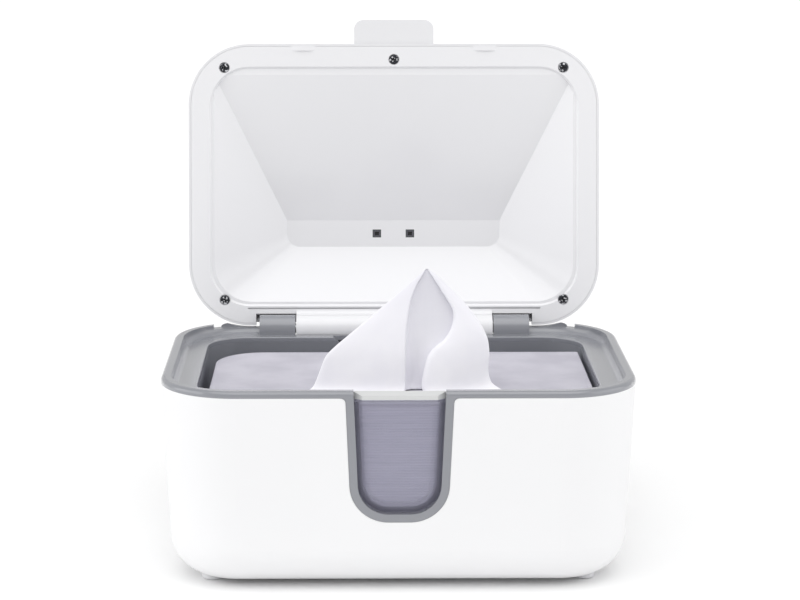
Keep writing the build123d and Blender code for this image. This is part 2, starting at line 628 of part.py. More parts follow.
def make_scoop():
    """Notch with slanted ends in the ledge's rear edge."""
    rear = HALF_Y - OPENING_INSET
    top = LEDGE_Z + 0.01
    low = LEDGE_Z - SCOOP_DEPTH
    corners = [
        (-SCOOP_HALF_TOP, top),
        (-SCOOP_HALF_LOW, low),
        (SCOOP_HALF_LOW, low),
        (SCOOP_HALF_TOP, top),
    ]
    face = make_face(Polyline(*corners, close=True))
    length = SCOOP_LENGTH + 2 * TANK_STEP
    return Pos(0, rear + SCOOP_LENGTH, 0) * extrude(Plane.XZ * face, length)


def make_inner_tank():
    """Tub for the wipes, with an outside lug ring, posts below and an opening at the window."""
    half_x = HALF_X - TANK_INSET
    half_y = HALF_Y - TANK_INSET
    radius = CORNER_RADIUS - TANK_INSET
    tank = rounded_block(
        half_x + TANK_WALL, half_y + TANK_WALL, radius + TANK_WALL, TANK_BASE_Z, PLATE_BOTTOM_Z
    )
    reach = TANK_WALL + TANK_LUG_WIDTH
    ring = rounded_block(half_x + reach, half_y + reach, radius + reach, LUG_Z - TANK_LUG_THICK, LUG_Z)
    tank += ring & body_form(SHELL_WALL + LUG_GAP)
    for x, y in post_places():
        tank += post(x, y, FLOOR_TOP_Z, TANK_BASE_Z, POST_RADIUS)
    cavity = rounded_block(half_x, half_y, radius, TANK_FLOOR_Z, RIM_HEIGHT)
    tank -= fillet(cavity.edges().group_by(Axis.Z)[0], TANK_ROUND)
    tank -= window_prism(SURROUND_BAND + PANE_GAP + PANE_SKIRT, -HALF_Y, -half_y + 1, RIM_HEIGHT)
    lug_gap = SURROUND_HALF + 2 * LUG_GAP + PANE_SKIRT
    tank -= block(-lug_gap, lug_gap, -HALF_Y, TANK_FRONT_Y, LUG_Z - TANK_LUG_THICK - 1, LUG_Z + 1)
    tank -= make_scoop()
    for x, y in FRAME_SCREWS:
        tank -= post(x, y, LUG_Z - TANK_LUG_THICK, LUG_Z, SCREW_RADIUS + SCREW_HOLE_GAP)
    for x, y in post_places():
        tank -= post(x, y, FLOOR_TOP_Z, FLOOR_TOP_Z + POST_HOLE_DEPTH, SCREW_RADIUS + PILOT_GAP)
    slot_low = LEAD_TURN_X - LEAD_SLOT_HALF
    slot_high = LEAD_TURN_X + LEAD_SLOT_HALF
    tank -= block(slot_low, slot_high, -TANK_FRONT_Y + 1.0, HALF_Y, LUG_Z - TANK_LUG_THICK - 1, LUG_Z + 1)
    return tank


def shelf_wedge(drop):
    """Space above the window's sloping shelf, lowered by a drop."""
    front_y = -HALF_Y - RIM_LAND
    fall = SHELF_DROP_FRONT - SHELF_DROP_REAR
    front_z = RIM_HEIGHT - SHELF_DROP_FRONT - fall - drop
    back_y = SURROUND_BACK_Y
    back_z = RIM_HEIGHT - SHELF_DROP_REAR + fall * (back_y - RIM_BACK_Y) / RIM_LAND - drop
    high_z = RIM_HEIGHT + RIM_LAND
    corners = [(front_y, front_z), (back_y, back_z), (back_y, high_z), (front_y, high_z)]
    face = make_face(Polyline(*corners, close=True))
    return Pos(-SURROUND_HALF, 0, 0) * extrude(Plane.YZ * face, 2 * SURROUND_HALF)


def bevel_front(form):
    """Bevel the sides and the foot of a pane's flat front."""
    front = form.faces().sort_by(Axis.Y)[0]
    top_z = front.bounding_box().max.Z
    edges = [e for e in front.edges() if e.center().Z < top_z - 0.1]
    return chamfer(edges, PANE_BEVEL, PANE_BEVEL_DEPTH, reference=front)


def make_window_pane():
    """Clear window: face, skirt back to the tank, sloping shelf on top, flange behind the surround."""
    skirt_top = SHELF_PLATE_Z - PANE_GAP
    flange_top = PLATE_BOTTOM_Z - PANE_GAP
    outline = SURROUND_BAND + PANE_GAP
    back_y = TANK_FRONT_Y - PANE_GAP
    top_back_y = RIM_BACK_Y - PANE_GAP
    front_y = -HALF_Y - RIM_LAND
    high_z = RIM_HEIGHT + RIM_LAND
    outer = window_prism(outline, front_y, back_y, high_z) & body_form(PANE_INSET)
    outer = bevel_front(outer)
    outer -= block(-HALF_X, HALF_X, top_back_y, 0, skirt_top, high_z)
    inner = window_prism(outline + PANE_SKIRT, front_y, back_y + 1, high_z)
    inner = bevel_front(inner & body_form(PANE_INSET + PANE_THICK))
    inner -= block(-HALF_X, HALF_X, top_back_y - PANE_SKIRT, 0, skirt_top - PANE_SKIRT, high_z)
    inner -= shelf_wedge(PANE_SKIRT)
    flange_y = SURROUND_BACK_Y + PANE_GAP
    flange = window_prism(outline - PANE_FLANGE, flange_y, flange_y + PANE_FLANGE_THICK, flange_top)
    return outer - shelf_wedge(0) + flange - inner


def make_base_cover():
    """Plate under the body, with standoffs for the board."""
    cover = rounded_block(COVER_HALF_X, COVER_HALF_Y, COVER_RADIUS, FOOT_HEIGHT, COVER_TOP_Z)
    for x, y in board_screw_places():
        cover += post(x, y, COVER_TOP_Z, BOARD_Z, STANDOFF_RADIUS)
        cover -= post(x, y, COVER_TOP_Z, BOARD_Z, SCREW_RADIUS + PILOT_GAP)
    for x, y in cover_screw_places():
        cover -= post(x, y, FOOT_HEIGHT, COVER_TOP_Z, SCREW_RADIUS + SCREW_HOLE_GAP)
    return cover


def make_base_screws():
    """Four screws up through the base cover."""
    tip = FLOOR_TOP_Z + COVER_BOSS_HEIGHT - 2 * COVER_SCREW_SPARE
    head = FOOT_HEIGHT - SCREW_HEAD_HEIGHT
    return [screw_up(x, y, head, tip) for x, y in cover_screw_places()]


def make_body_screws():
    """Four screws up through the shell's floor into the tank's posts."""
    head = FOOT_HEIGHT + HEAD_RECESS - SCREW_HEAD_HEIGHT
    return [screw_up(x, y, head, FLOOR_TOP_Z + BODY_SCREW_GRIP) for x, y in post_places()]


def make_frame_screws():
    """Six screws up through the tank's lug ring into the frame."""
    head = LUG_Z - TANK_LUG_THICK - SCREW_HEAD_HEIGHT
    return [screw_up(x, y, head, LEDGE_Z - 2) for x, y in FRAME_SCREWS]


def make_foot(x, y):
    """Round pad with a softened lower edge."""
    foot = post(x, y, 0, FOOT_HEIGHT + FOOT_SEAT, FOOT_RADIUS)
    return fillet(foot.edges().group_by(Axis.Z)[0], FOOT_ROUND)


# --- Base: heater and electrics --------------------------------------------------------------------
PLATE_Z = TANK_BASE_Z - PLATE_THICK
FILM_Z = PLATE_Z - FILM_THICK
PAD_Z = FILM_Z - PAD_THICK
FILM_HALF_X = PLATE_LENGTH / 2 - FILM_MARGIN
FILM_HALF_Y = PLATE_WIDTH / 2 - FILM_MARGIN
MARGIN_Y = PLATE_WIDTH / 2 - FILM_MARGIN / 2


def make_heating_plate():
    """Aluminium plate under the tank's floor."""
    return rounded_block(PLATE_LENGTH / 2, PLATE_WIDTH / 2, PLATE_ROUND, PLATE_Z, TANK_BASE_Z)


def make_film_heater():
    """Film heater under the plate, with a short tail for its leads."""
    film = rounded_block(FILM_HALF_X, FILM_HALF_Y, FILM_ROUND, FILM_Z, PLATE_Z)
    half = FILM_TAIL_WIDTH / 2
    tail_end = FILM_HALF_Y + FILM_TAIL_LENGTH
    return film + block(FILM_TAIL_X - half, FILM_TAIL_X + half, 0, tail_end, FILM_Z, PLATE_Z)


def make_insulation_pad():
    """Felt pad under the film heater."""
    return rounded_block(FILM_HALF_X, FILM_HALF_Y, FILM_ROUND, PAD_Z, FILM_Z)


def make_thermal_fuse():
    """Cut-out that lies against the plate's rear margin."""
    return bar_x(FUSE_X, FUSE_X + FUSE_LENGTH, MARGIN_Y, PLATE_Z - FUSE_RADIUS, FUSE_RADIUS)


def make_temperature_sensor():
    """Bead sensor that lies against the plate's rear margin."""
    bead_z = PLATE_Z - SENSOR_RADIUS
    bead = bar_x(SENSOR_X, SENSOR_X + SENSOR_LENGTH, MARGIN_Y, bead_z, SENSOR_RADIUS)
    return fillet(bead.edges(), SENSOR_ROUND)


def board_screw_places():
    """The four screws of the control board."""
    x = BOARD_LENGTH / 2 - STANDOFF_INSET
    y = BOARD_WIDTH / 2 - STANDOFF_INSET
    return [(BOARD_X + sx * x, BOARD_Y + sy * y) for sx, sy in SIGNS]


CONNECTOR_FACE_Y = BOARD_REAR_Y
LEAD_PLUGS = [JACK_X, FILM_TAIL_X, FUSE_X - 7.0]


def make_control_board():
    """Circuit board with its connectors, relay, regulator and capacitors."""
    half_x = BOARD_LENGTH / 2
    front_y = BOARD_Y - BOARD_WIDTH / 2
    top = BOARD_TOP_Z
    board = block(BOARD_X - half_x, BOARD_X + half_x, front_y, BOARD_REAR_Y, BOARD_Z, top)
    plug_y = BOARD_REAR_Y - CONNECTOR_DEPTH
    for x in LEAD_PLUGS:
        half = CONNECTOR_LENGTH / 2
        board += block(x - half, x + half, plug_y, CONNECTOR_FACE_Y, top, top + CONNECTOR_HEIGHT)
    relay_x = BOARD_X - RELAY_OFFSET
    board += block(relay_x - RELAY_LENGTH, relay_x, BOARD_Y - RELAY_WIDTH, BOARD_Y, top, top + RELAY_HEIGHT)
    chip_x = BOARD_X - REGULATOR_OFFSET
    chip_y = BOARD_Y + REGULATOR_OFFSET
    chip_end = chip_x + REGULATOR_SIZE
    board += block(chip_x, chip_end, chip_y - REGULATOR_SIZE, chip_y, top, top + REGULATOR_HEIGHT)
    for step in range(2):
        x = BOARD_X + CAPACITOR_OFFSET_X + CAPACITOR_PITCH * step
        board += post(x, BOARD_Y - CAPACITOR_OFFSET_Y, top, top + CAPACITOR_HEIGHT, CAPACITOR_RADIUS)
    for x, y in board_screw_places():
        board -= post(x, y, BOARD_Z, BOARD_TOP_Z, SCREW_RADIUS + SCREW_HOLE_GAP)
    return board


def make_board_screws():
    """Four screws down through the board into the standoffs."""
    head = BOARD_TOP_Z + SCREW_HEAD_HEIGHT
    return [screw_down(x, y, head, COVER_TOP_Z + BOARD_SCREW_SPARE) for x, y in board_screw_places()]


def make_power_jack():
    """Low-voltage inlet: block behind the recess, collar through it, bore with a centre pin."""
    front = RECESS_Y - RECESS_WALL
    half = JACK_BODY / 2
    low = JACK_HEIGHT - half
    high = JACK_HEIGHT + half
    jack = block(JACK_X - half, JACK_X + half, front - JACK_LENGTH, front, low, high)
    mouth = RECESS_Y + JACK_COLLAR_PROUD
    jack += bar_y(JACK_X, front, mouth, JACK_HEIGHT, JACK_COLLAR_RADIUS)
    jack -= bar_y(JACK_X, mouth - JACK_BORE_DEPTH, mouth, JACK_HEIGHT, JACK_BORE_RADIUS)
    pin_start = mouth - JACK_BORE_DEPTH
    return jack + bar_y(JACK_X, pin_start, mouth - JACK_PIN_SHORT, JACK_HEIGHT, JACK_PIN_RADIUS)


def make_jack_leads():
    """Two leads from the inlet to the board."""
    start_y = RECESS_Y - RECESS_WALL - JACK_LENGTH
    middle_y = (start_y + CONNECTOR_FACE_Y) / 2
    leads = []
    for side in (-1, 1):
        x = JACK_X + side * LEAD_PITCH / 2
        points = [
            (x, start_y, JACK_HEIGHT),
            (x, middle_y + 4, JACK_HEIGHT),
            (x, middle_y - 4, LEAD_Z),
            (x, CONNECTOR_FACE_Y, LEAD_Z),
        ]
        leads.append(lead("jack lead", points, LEAD_RADIUS))
    return leads


def make_heater_leads():
    """Two leads from the film heater's tail, round and back to the board."""
    start_y = FILM_HALF_Y + FILM_TAIL_LENGTH
    turn_y = start_y + 9.0
    start_z = FILM_Z - LEAD_RADIUS + 0.3
    leads = []
    for side in (-1, 1):
        x = FILM_TAIL_X + side * LEAD_PITCH / 2
        points = [
            (x, start_y, start_z),
            (x, turn_y, start_z),
            (x, turn_y, LEAD_Z),
            (x, CONNECTOR_FACE_Y, LEAD_Z),
        ]
        leads.append(lead("heater lead", points, LEAD_RADIUS))
    return leads


def make_sensor_leads():
    """Leads of the fuse and of the sensor, back to the board's last connector."""
    plug_x = LEAD_PLUGS[2]
    fuse_z = PLATE_Z - FUSE_RADIUS
    fuse_x = plug_x - LEAD_PITCH / 2
    fuse_points = [
        (FUSE_X, MARGIN_Y, fuse_z),
        (fuse_x, MARGIN_Y, fuse_z),
        (fuse_x, MARGIN_Y, LEAD_Z),
        (fuse_x, CONNECTOR_FACE_Y, LEAD_Z),
    ]
    sensor_z = PLATE_Z - SENSOR_RADIUS
    sensor_x = plug_x + LEAD_PITCH / 2
    run_z = LEAD_Z + SENSOR_RUN_RISE
    far_x = SENSOR_X + SENSOR_LENGTH + 8.0
    loop_y = MARGIN_Y + 7.0
    sensor_points = [
        (SENSOR_X + SENSOR_LENGTH, MARGIN_Y, sensor_z),
        (far_x, MARGIN_Y, sensor_z),
        (far_x, loop_y, run_z),
        (sensor_x + 18.0, loop_y + 1.0, run_z),
        (sensor_x, loop_y, run_z),
        (sensor_x, loop_y - 10.0, LEAD_Z),
        (sensor_x, CONNECTOR_FACE_Y, LEAD_Z),
    ]
    return [
        lead("fuse lead", fuse_points, LEAD_RADIUS),
        lead("sensor lead", sensor_points, LEAD_RADIUS),
    ]


LEAD_RISE_Y = (-TANK_FRONT_Y + HALF_Y - SHELL_WALL) / 2 - 0.8
LEAD_MEET_X = KNUCKLE_START - BARREL_GAP / 2


def make_lid_lead_base():
    """Lead from the board, along and up the rear of the tank, into the right knuckle."""
    start_x = LEAD_PLUGS[2] + 1.5 * LEAD_PITCH
    far_y = PLATE_WIDTH / 2 + 9.0
    points = [
        (start_x, CONNECTOR_FACE_Y, LEAD_Z),
        (start_x, far_y, LEAD_Z),
        (start_x + 28.0, far_y + 1.0, LEAD_Z),
        (LEAD_TURN_X - 16.0, far_y, LEAD_Z),
        (LEAD_TURN_X, LEAD_RISE_Y - 4.0, LEAD_Z + 6.0),
        (LEAD_TURN_X, LEAD_RISE_Y, TANK_BASE_Z + 8.0),
        (LEAD_TURN_X, LEAD_RISE_Y + 0.5, AXIS_Z - 40.0),
        (LEAD_TURN_X, LEAD_RISE_Y, AXIS_Z - 18.0),
        (LEAD_TURN_X, AXIS_Y, AXIS_Z),
        (LEAD_MEET_X, AXIS_Y, AXIS_Z),
    ]
    return lead("lid lead, base part", points, LID_LEAD_RADIUS)


def make_hinge_pin():
    """Steel pin of the left knuckle."""
    seat_end = -KNUCKLE_START - PIN_SEAT + BORE_SPARE / 2
    pin = bar_x(seat_end, -BARREL_HALF + PIN_REACH, AXIS_Y, AXIS_Z, PIN_RADIUS)
    return chamfer(pin.edges(), PIN_CHAMFER)


def make_hinge_bush():
    """Hollow shaft of the right knuckle, which lets the lid's lead through."""
    bush = bar_x(BARREL_HALF - PIN_REACH, KNUCKLE_START + BUSH_SEAT, AXIS_Y, AXIS_Z, PIN_RADIUS)
    return bush - bar_x(0, KNUCKLE_END, AXIS_Y, AXIS_Z, BUSH_BORE_RADIUS)


# --- Lid, drawn closed -----------------------------------------------------------------------------
def lid_form(inset, z_top):
    """The lid's outer form, or the same drawn in by a wall."""
    radius = CORNER_RADIUS - LID_INSET - inset
    side_top = LID_Z + LID_SIDE - 0.4 * inset
    side = rounded_block(LID_HALF_X - inset, LID_HALF_Y - inset, radius, LID_Z, side_top)
    top = roof(
        LID_HALF_X - inset,
        LID_HALF_Y - inset,
        radius,
        side_top,
        ROOF_HALF_X - inset,
        ROOF_HALF_Y - inset,
        z_top,
    )
    return side + top


def notch_cut():
    """Room that the lid leaves around the two knuckles."""
    cut = None
    for side in (-1, 1):
        x_low, x_high = sorted((side * BARREL_HALF, side * (KNUCKLE_END + NOTCH_SIDE_GAP)))
        piece = bar_x(x_low, x_high, AXIS_Y, AXIS_Z, KNUCKLE_RADIUS + NOTCH_ROUND_GAP)
        cut = piece if cut is None else cut + piece
    return cut


def make_tab():
    """Opening tab on the lid's front edge."""
    low = LID_Z + TAB_RISE
    outline = RectangleRounded(2 * TAB_HALF, 2 * TAB_REACH, TAB_ROUND)
    tab = Pos(0, -LID_HALF_Y, low) * extrude(outline, TAB_THICK)
    tab &= block(-HALF_X, HALF_X, -HALF_Y - TAB_REACH, -LID_HALF_Y + LID_WALL / 2, low, low + TAB_THICK)
    outer_edges = tab.edges().filter_by(lambda e: e.center().Y < -LID_HALF_Y - 1)
    return fillet(outer_edges.group_by(Axis.Z)[-1], TAB_EDGE_ROUND)


def make_lid_shell():
    """White outer shell of the lid, with the tab, screw bosses and the button's hole."""
    outer = lid_form(0, LID_TOP_Z)
    outer = fillet(outer.edges().group_by(Axis.Z)[-1], ROOF_ROUND)
    inner = lid_form(LID_WALL, LID_CEILING_Z)
    bosses = None
    for x, y in LID_SCREWS:
        piece = post(x, y, LINER_TOP_Z, LID_TOP_Z, LID_BOSS_RADIUS)
        bosses = piece if bosses is None else bosses + piece
    shell = outer - inner + (bosses & outer) + make_tab()
    lip_x = LID_HALF_X - LID_LIP
    lip_y = LID_HALF_Y - LID_LIP
    shell -= rounded_block(lip_x, lip_y, CORNER_RADIUS - LID_INSET - LID_LIP, LID_Z - 1, LINER_TOP_Z)
    for x, y in LID_SCREWS:
        shell -= post(x, y, LINER_TOP_Z, LINER_TOP_Z + LID_SCREW_LENGTH, SCREW_RADIUS + PILOT_GAP)
    shell -= notch_cut()
    shell -= bar_x(-BARREL_HALF - 1, BARREL_HALF + 1, AXIS_Y, AXIS_Z, KNUCKLE_RADIUS + LIP_GAP)
    shell -= post(0, RIDGE_Y, LID_CEILING_Z - 1, LID_TOP_Z + 1, BUTTON_RADIUS + BUTTON_GAP)
    status = RectangleRounded(
        2 * (STATUS_HALF_X + STATUS_GAP), 2 * (STATUS_HALF_Y + STATUS_GAP), STATUS_HALF_Y
    )
    shell -= Pos(STATUS_X, RIDGE_Y, LID_CEILING_Z - 1) * extrude(status, LID_WALL + 2)
    return shell


def hollow_form(wall):
    """The liner's hollow: flat slopes and creases in front, soft corners behind."""
    front = -LID_HALF_Y + HOLLOW_FRONT_EDGE - wall
    rear = LID_HALF_Y - HOLLOW_REAR_EDGE + wall
    middle_y = (rear + front) / 2
    half_x = LID_HALF_X - HOLLOW_SIDE_EDGE + wall
    half_y = (rear - front) / 2
    radius = HOLLOW_RADIUS + wall
    strip_x = STRIP_HALF_X + wall
    strip_y = STRIP_HALF_Y + wall
    top = HOLLOW_TOP_Z + wall
    soft = roof(half_x, half_y, radius, LID_Z, strip_x, strip_y, top, middle_y)
    mouth = Pos(0, middle_y, LID_Z) * Rectangle(2 * half_x, 2 * half_y)
    strip = Pos(0, RIDGE_Y, top) * Rectangle(2 * strip_x, 2 * strip_y)
    creased = loft([mouth, strip], ruled=True)
    creased &= rounded_block(half_x, half_y, radius, LID_Z, top, middle_y)
    ahead = block(-HALF_X, HALF_X, -HALF_Y, RIDGE_Y, LID_Z - 1, top + 1)
    return (creased & ahead) + (soft - ahead)


def hollow_mouth():
    """Cut that bevels the hollow's mouth."""
    front = -LID_HALF_Y + HOLLOW_FRONT_EDGE
    rear = LID_HALF_Y - HOLLOW_REAR_EDGE
    middle_y = (rear + front) / 2
    length = 2 * (LID_HALF_X - HOLLOW_SIDE_EDGE)
    width = rear - front
    wide = RectangleRounded(
        length + 2 * HOLLOW_ROUND, width + 2 * HOLLOW_ROUND, HOLLOW_RADIUS + HOLLOW_ROUND
    )
    narrow = RectangleRounded(length, width, HOLLOW_RADIUS)
    low = Pos(0, middle_y, LID_Z) * wide
    return loft([low, Pos(0, middle_y, LID_Z + HOLLOW_ROUND) * narrow], ruled=True)


def make_lid_liner():
    """White inner moulding: flat edge, hipped hollow, hinge barrel and snap nubs."""
    half_x = LID_HALF_X - LID_LIP - LIP_GAP
    half_y = LID_HALF_Y - LID_LIP - LIP_GAP
    radius = CORNER_RADIUS - LID_INSET - LID_LIP - LIP_GAP
    edge = rounded_block(half_x, half_y, radius, LID_Z, LINER_TOP_Z)
    dished = edge + hollow_form(LINER_WALL) - hollow_form(0)
    dished -= hollow_mouth()
    for x, y in LID_SCREWS:
        dished -= post(x, y, LINER_TOP_Z, LID_TOP_Z, LID_BOSS_RADIUS + BOSS_PASS)
    barrel = bar_x(-BARREL_HALF, BARREL_HALF, AXIS_Y, AXIS_Z, KNUCKLE_RADIUS)
    fill_y = AXIS_Y - KNUCKLE_RADIUS - BARREL_ROUND
    fill_z = LID_Z - BARREL_ROUND
    fill = block(-BARREL_HALF, BARREL_HALF, fill_y, fill_y + BARREL_ROUND + 1, fill_z, LID_Z)
    fill -= bar_x(-HALF_X, HALF_X, fill_y, fill_z, BARREL_ROUND)
    groove_y = fill_y - LIP_GROOVE_WIDTH
    groove_x = LIP_GROOVE_HALF
    dished -= block(-groove_x, groove_x, groove_y, fill_y, LID_Z - 1, LID_Z + LIP_GROOVE_DEPTH)
    liner = dished - notch_cut() + barrel + fill
    for x, y in LID_BOARD_BOSSES:
        liner += post(x, y, RIDGE_TOP_Z - BOSS_ROOT, LID_BOARD_Z, LID_BOARD_BOSS_RADIUS)
    nub_radius = (NUB_LENGTH**2 / 4 + NUB_HEIGHT**2) / (2 * NUB_HEIGHT)
    nub_front = -half_y - LIP_GAP
    nub_low = LID_Z - NUB_HEIGHT
    for side in (-1, 1):
        x = side * NUB_X
        nub = block(x - NUB_LENGTH, x + NUB_LENGTH, nub_front, nub_front + NUB_DEPTH, nub_low, LID_Z + 1)
        liner += nub & bar_y(x, nub_front - 1, nub_front + NUB_LENGTH, nub_low + nub_radius, nub_radius)
    for x, y in LID_SCREWS:
        liner -= post(x, y, LID_Z - 1, LINER_TOP_Z + 1, SCREW_RADIUS + SCREW_HOLE_GAP)
        liner -= post(x, y, LID_Z - 1, LID_Z + HEAD_RECESS, SCREW_HEAD_RADIUS + 2 * SCREW_HOLE_GAP)
    for x, y in LID_BOARD_BOSSES:
        liner -= post(x, y, RIDGE_TOP_Z - BOSS_ROOT + 0.1, LID_BOARD_Z, SCREW_RADIUS + PILOT_GAP)
    for x in (-LAMP_SPACING / 2, LAMP_SPACING / 2):
        half_lx = LAMP_X_SIZE / 2 + LAMP_GAP
        half_ly = LAMP_Y_SIZE / 2 + LAMP_GAP
        y_low = RIDGE_Y - half_ly
        y_high = RIDGE_Y + half_ly
        liner -= block(x - half_lx, x + half_lx, y_low, y_high, HOLLOW_TOP_Z - 1, LID_BOARD_Z)
    bore = PIN_RADIUS + RUNNING_FIT
    liner -= bar_x(-BARREL_HALF - 1, -BARREL_HALF + PIN_REACH + BORE_SPARE, AXIS_Y, AXIS_Z, bore)
    liner -= bar_x(LEAD_BORE_X, BARREL_HALF + 1, AXIS_Y, AXIS_Z, bore)
    return liner - make_lead_slot()


LID_BOSS_X = LID_BOARD_LENGTH / 2 - LID_BOARD_INSET_X
LID_BOSS_Y = LID_BOARD_WIDTH / 2 - LID_BOARD_INSET_Y
LID_BOARD_BOSSES = [(sx * LID_BOSS_X, RIDGE_Y + sy * LID_BOSS_Y) for sx, sy in SIGNS]
LEAD_BORE_X = BARREL_HALF - PIN_REACH - LEAD_BORE_RUN
LEAD_EXIT_X = LEAD_BORE_X + LEAD_BORE_RUN / 2


def make_lead_slot():
    """Slot from the barrel's bore up into the space between liner and shell."""
    slot_end = LEAD_BORE_X + LEAD_BORE_RUN - LID_LEAD_GAP
    half = LID_LEAD_RADIUS + LID_LEAD_GAP
    slot = block(LEAD_BORE_X, slot_end, -LEAD_OUT - LID_LEAD_RADIUS, 0, -half, half)
    return Pos(0, AXIS_Y, AXIS_Z) * Rot(-LEAD_LEAN, 0, 0) * slot


def make_lid_lead():
    """Lead from the hinge up between liner and shell to the lid board."""
    lean = math.radians(LEAD_LEAN)
    board_y = RIDGE_Y + LID_BOARD_WIDTH / 2
    board_z = LID_BOARD_Z + LID_BOARD_THICK / 2
    points = [
        (LEAD_MEET_X, AXIS_Y, AXIS_Z),
        (LEAD_EXIT_X, AXIS_Y, AXIS_Z),
        (LEAD_EXIT_X, AXIS_Y - LEAD_OUT * math.cos(lean), AXIS_Z + LEAD_OUT * math.sin(lean)),
        (LEAD_EXIT_X - LEAD_SHIFT, board_y + LEAD_END_RUN, board_z),
        (LEAD_EXIT_X - LEAD_SHIFT, board_y, board_z),
    ]
    return lead("lid lead, lid part", points, LID_LEAD_RADIUS)


def make_lid_screws():
    """Five screws up through the liner into the lid shell."""
    head = LID_Z + HEAD_RECESS - SCREW_HEAD_HEIGHT
    tip = LINER_TOP_Z + LID_SCREW_LENGTH - LID_SCREW_SPARE
    return [screw_up(x, y, head, tip) for x, y in LID_SCREWS]


def make_lid_board():
    """Board on the liner's ridge."""
    half = LID_BOARD_LENGTH / 2
    top = LID_BOARD_Z + LID_BOARD_THICK
    half_y = LID_BOARD_WIDTH / 2
    chip = LID_CHIP_SIZE / 2
    board = block(-half, half, RIDGE_Y - half_y, RIDGE_Y + half_y, LID_BOARD_Z, top)
    board += block(
        LID_CHIP_X - chip, LID_CHIP_X + chip, RIDGE_Y - chip, RIDGE_Y + chip, top, top + LID_CHIP_HEIGHT
    )
    light = STATUS_HALF_Y
    board += block(
        STATUS_X - light, STATUS_X + light, RIDGE_Y - light, RIDGE_Y + light, top, top + STATUS_LIGHT_HEIGHT
    )
    for x, y in LID_BOARD_BOSSES:
        board -= post(x, y, LID_BOARD_Z, top, SCREW_RADIUS + SCREW_HOLE_GAP)
    return board


def make_lid_board_screws():
    """Four short screws down through the lid board."""
    head = LID_BOARD_Z + LID_BOARD_THICK + SCREW_HEAD_HEIGHT
    tip = RIDGE_TOP_Z - BOSS_ROOT + 0.2
    return [screw_down(x, y, head, tip) for x, y in LID_BOARD_BOSSES]


def make_lamp(side):
    """Square lamp on the board's underside, which looks into the hollow."""
    x = side * LAMP_SPACING / 2
    return block(
        x - LAMP_X_SIZE / 2,
        x + LAMP_X_SIZE / 2,
        RIDGE_Y - LAMP_Y_SIZE / 2,
        RIDGE_Y + LAMP_Y_SIZE / 2,
        HOLLOW_TOP_Z + LAMP_SET,
        LID_BOARD_Z,
    )


SWITCH_TOP_Z = LID_BOARD_Z + LID_BOARD_THICK + SWITCH_HEIGHT


def make_push_switch():
    """Low switch under the button."""
    half = SWITCH_SIZE / 2
    low = LID_BOARD_Z + LID_BOARD_THICK
    return block(-half, half, RIDGE_Y - half, RIDGE_Y + half, low, SWITCH_TOP_Z)


def make_power_button():
    """Round button with a flange inside the shell and a short stem over the switch."""
    top = LID_TOP_Z + BUTTON_PROUD
    cap = post(0, RIDGE_Y, LID_CEILING_Z - BUTTON_FLANGE_THICK, top, BUTTON_RADIUS)
    cap = fillet(cap.edges().group_by(Axis.Z)[-1], BUTTON_ROUND)
    flange_z = LID_CEILING_Z - BUTTON_FLANGE_THICK
    cap += post(0, RIDGE_Y, flange_z, LID_CEILING_Z, BUTTON_RADIUS + BUTTON_FLANGE)
    stem_low = SWITCH_TOP_Z + BUTTON_TRAVEL + BUTTON_SPARE
    return cap + post(0, RIDGE_Y, stem_low, LID_CEILING_Z, BUTTON_STEM_RADIUS)


def make_status_lens():
    """Small bar lens beside the button."""
    outline = RectangleRounded(2 * STATUS_HALF_X, 2 * STATUS_HALF_Y, 0.95 * STATUS_HALF_Y)
    lens = extrude(outline, LID_WALL + STATUS_PROUD)
    flange_x = STATUS_HALF_X + STATUS_FLANGE
    flange_y = STATUS_HALF_Y + STATUS_FLANGE
    flange = RectangleRounded(2 * flange_x, 2 * flange_y, STATUS_HALF_Y)
    lens += Pos(0, 0, -STATUS_FLANGE_THICK) * extrude(flange, STATUS_FLANGE_THICK)
    return Pos(STATUS_X, RIDGE_Y, LID_CEILING_Z) * lens


# --- Wipes -----------------------------------------------------------------------------------------
def make_wipe_stack():
    """Folded wipes, pushed to the right, with one softly rounded corner."""
    left = -(HALF_X - TANK_INSET) + STACK_LEFT_GAP
    right = HALF_X - TANK_INSET - STACK_RIGHT_GAP
    front = -(HALF_Y - TANK_INSET) + STACK_FRONT_GAP
    rear = HALF_Y - TANK_INSET - STACK_REAR_GAP
    low = TANK_FLOOR_Z + STACK_CLEARANCE
    stack = block(left, right, front, rear, low, STACK_TOP_Z)
    uprights = stack.edges().filter_by(Axis.Z)
    stack = fillet([e for e in uprights if e.center().Y < 0], STACK_CORNER)
    worn = stack.edges().filter_by(Axis.Z).group_by(Axis.Y)[-1].sort_by(Axis.X)[0]
    return fillet(worn, STACK_CORNER_REAR)


# Sections of the pulled-up wipe, from the stack to the peak. The height is a share of the
# wipe's height. The left end, the front fold, the rolled edge and the right end are shares
# of its span, from the peak. The last is what is left of the foot's depth.
WIPE_SECTIONS = [
    (0.0, -0.611, -0.12, -0.022, 0.373, 1.0),
    (0.153, -0.58, -0.119, -0.019, 0.333, 0.93),
    (0.284, -0.55, -0.118, 0.011, 0.336, 0.84),
    (0.421, -0.45, -0.116, 0.089, 0.327, 0.72),
    (0.596, -0.319, -0.104, 0.14, 0.273, 0.54),
    (0.763, -0.188, -0.082, 0.096, 0.183, 0.35),
    (0.895, -0.087, -0.046, 0.047, 0.094, 0.2),
    (1.0, -0.018, -0.009, 0.008, 0.02, 0.08),
]


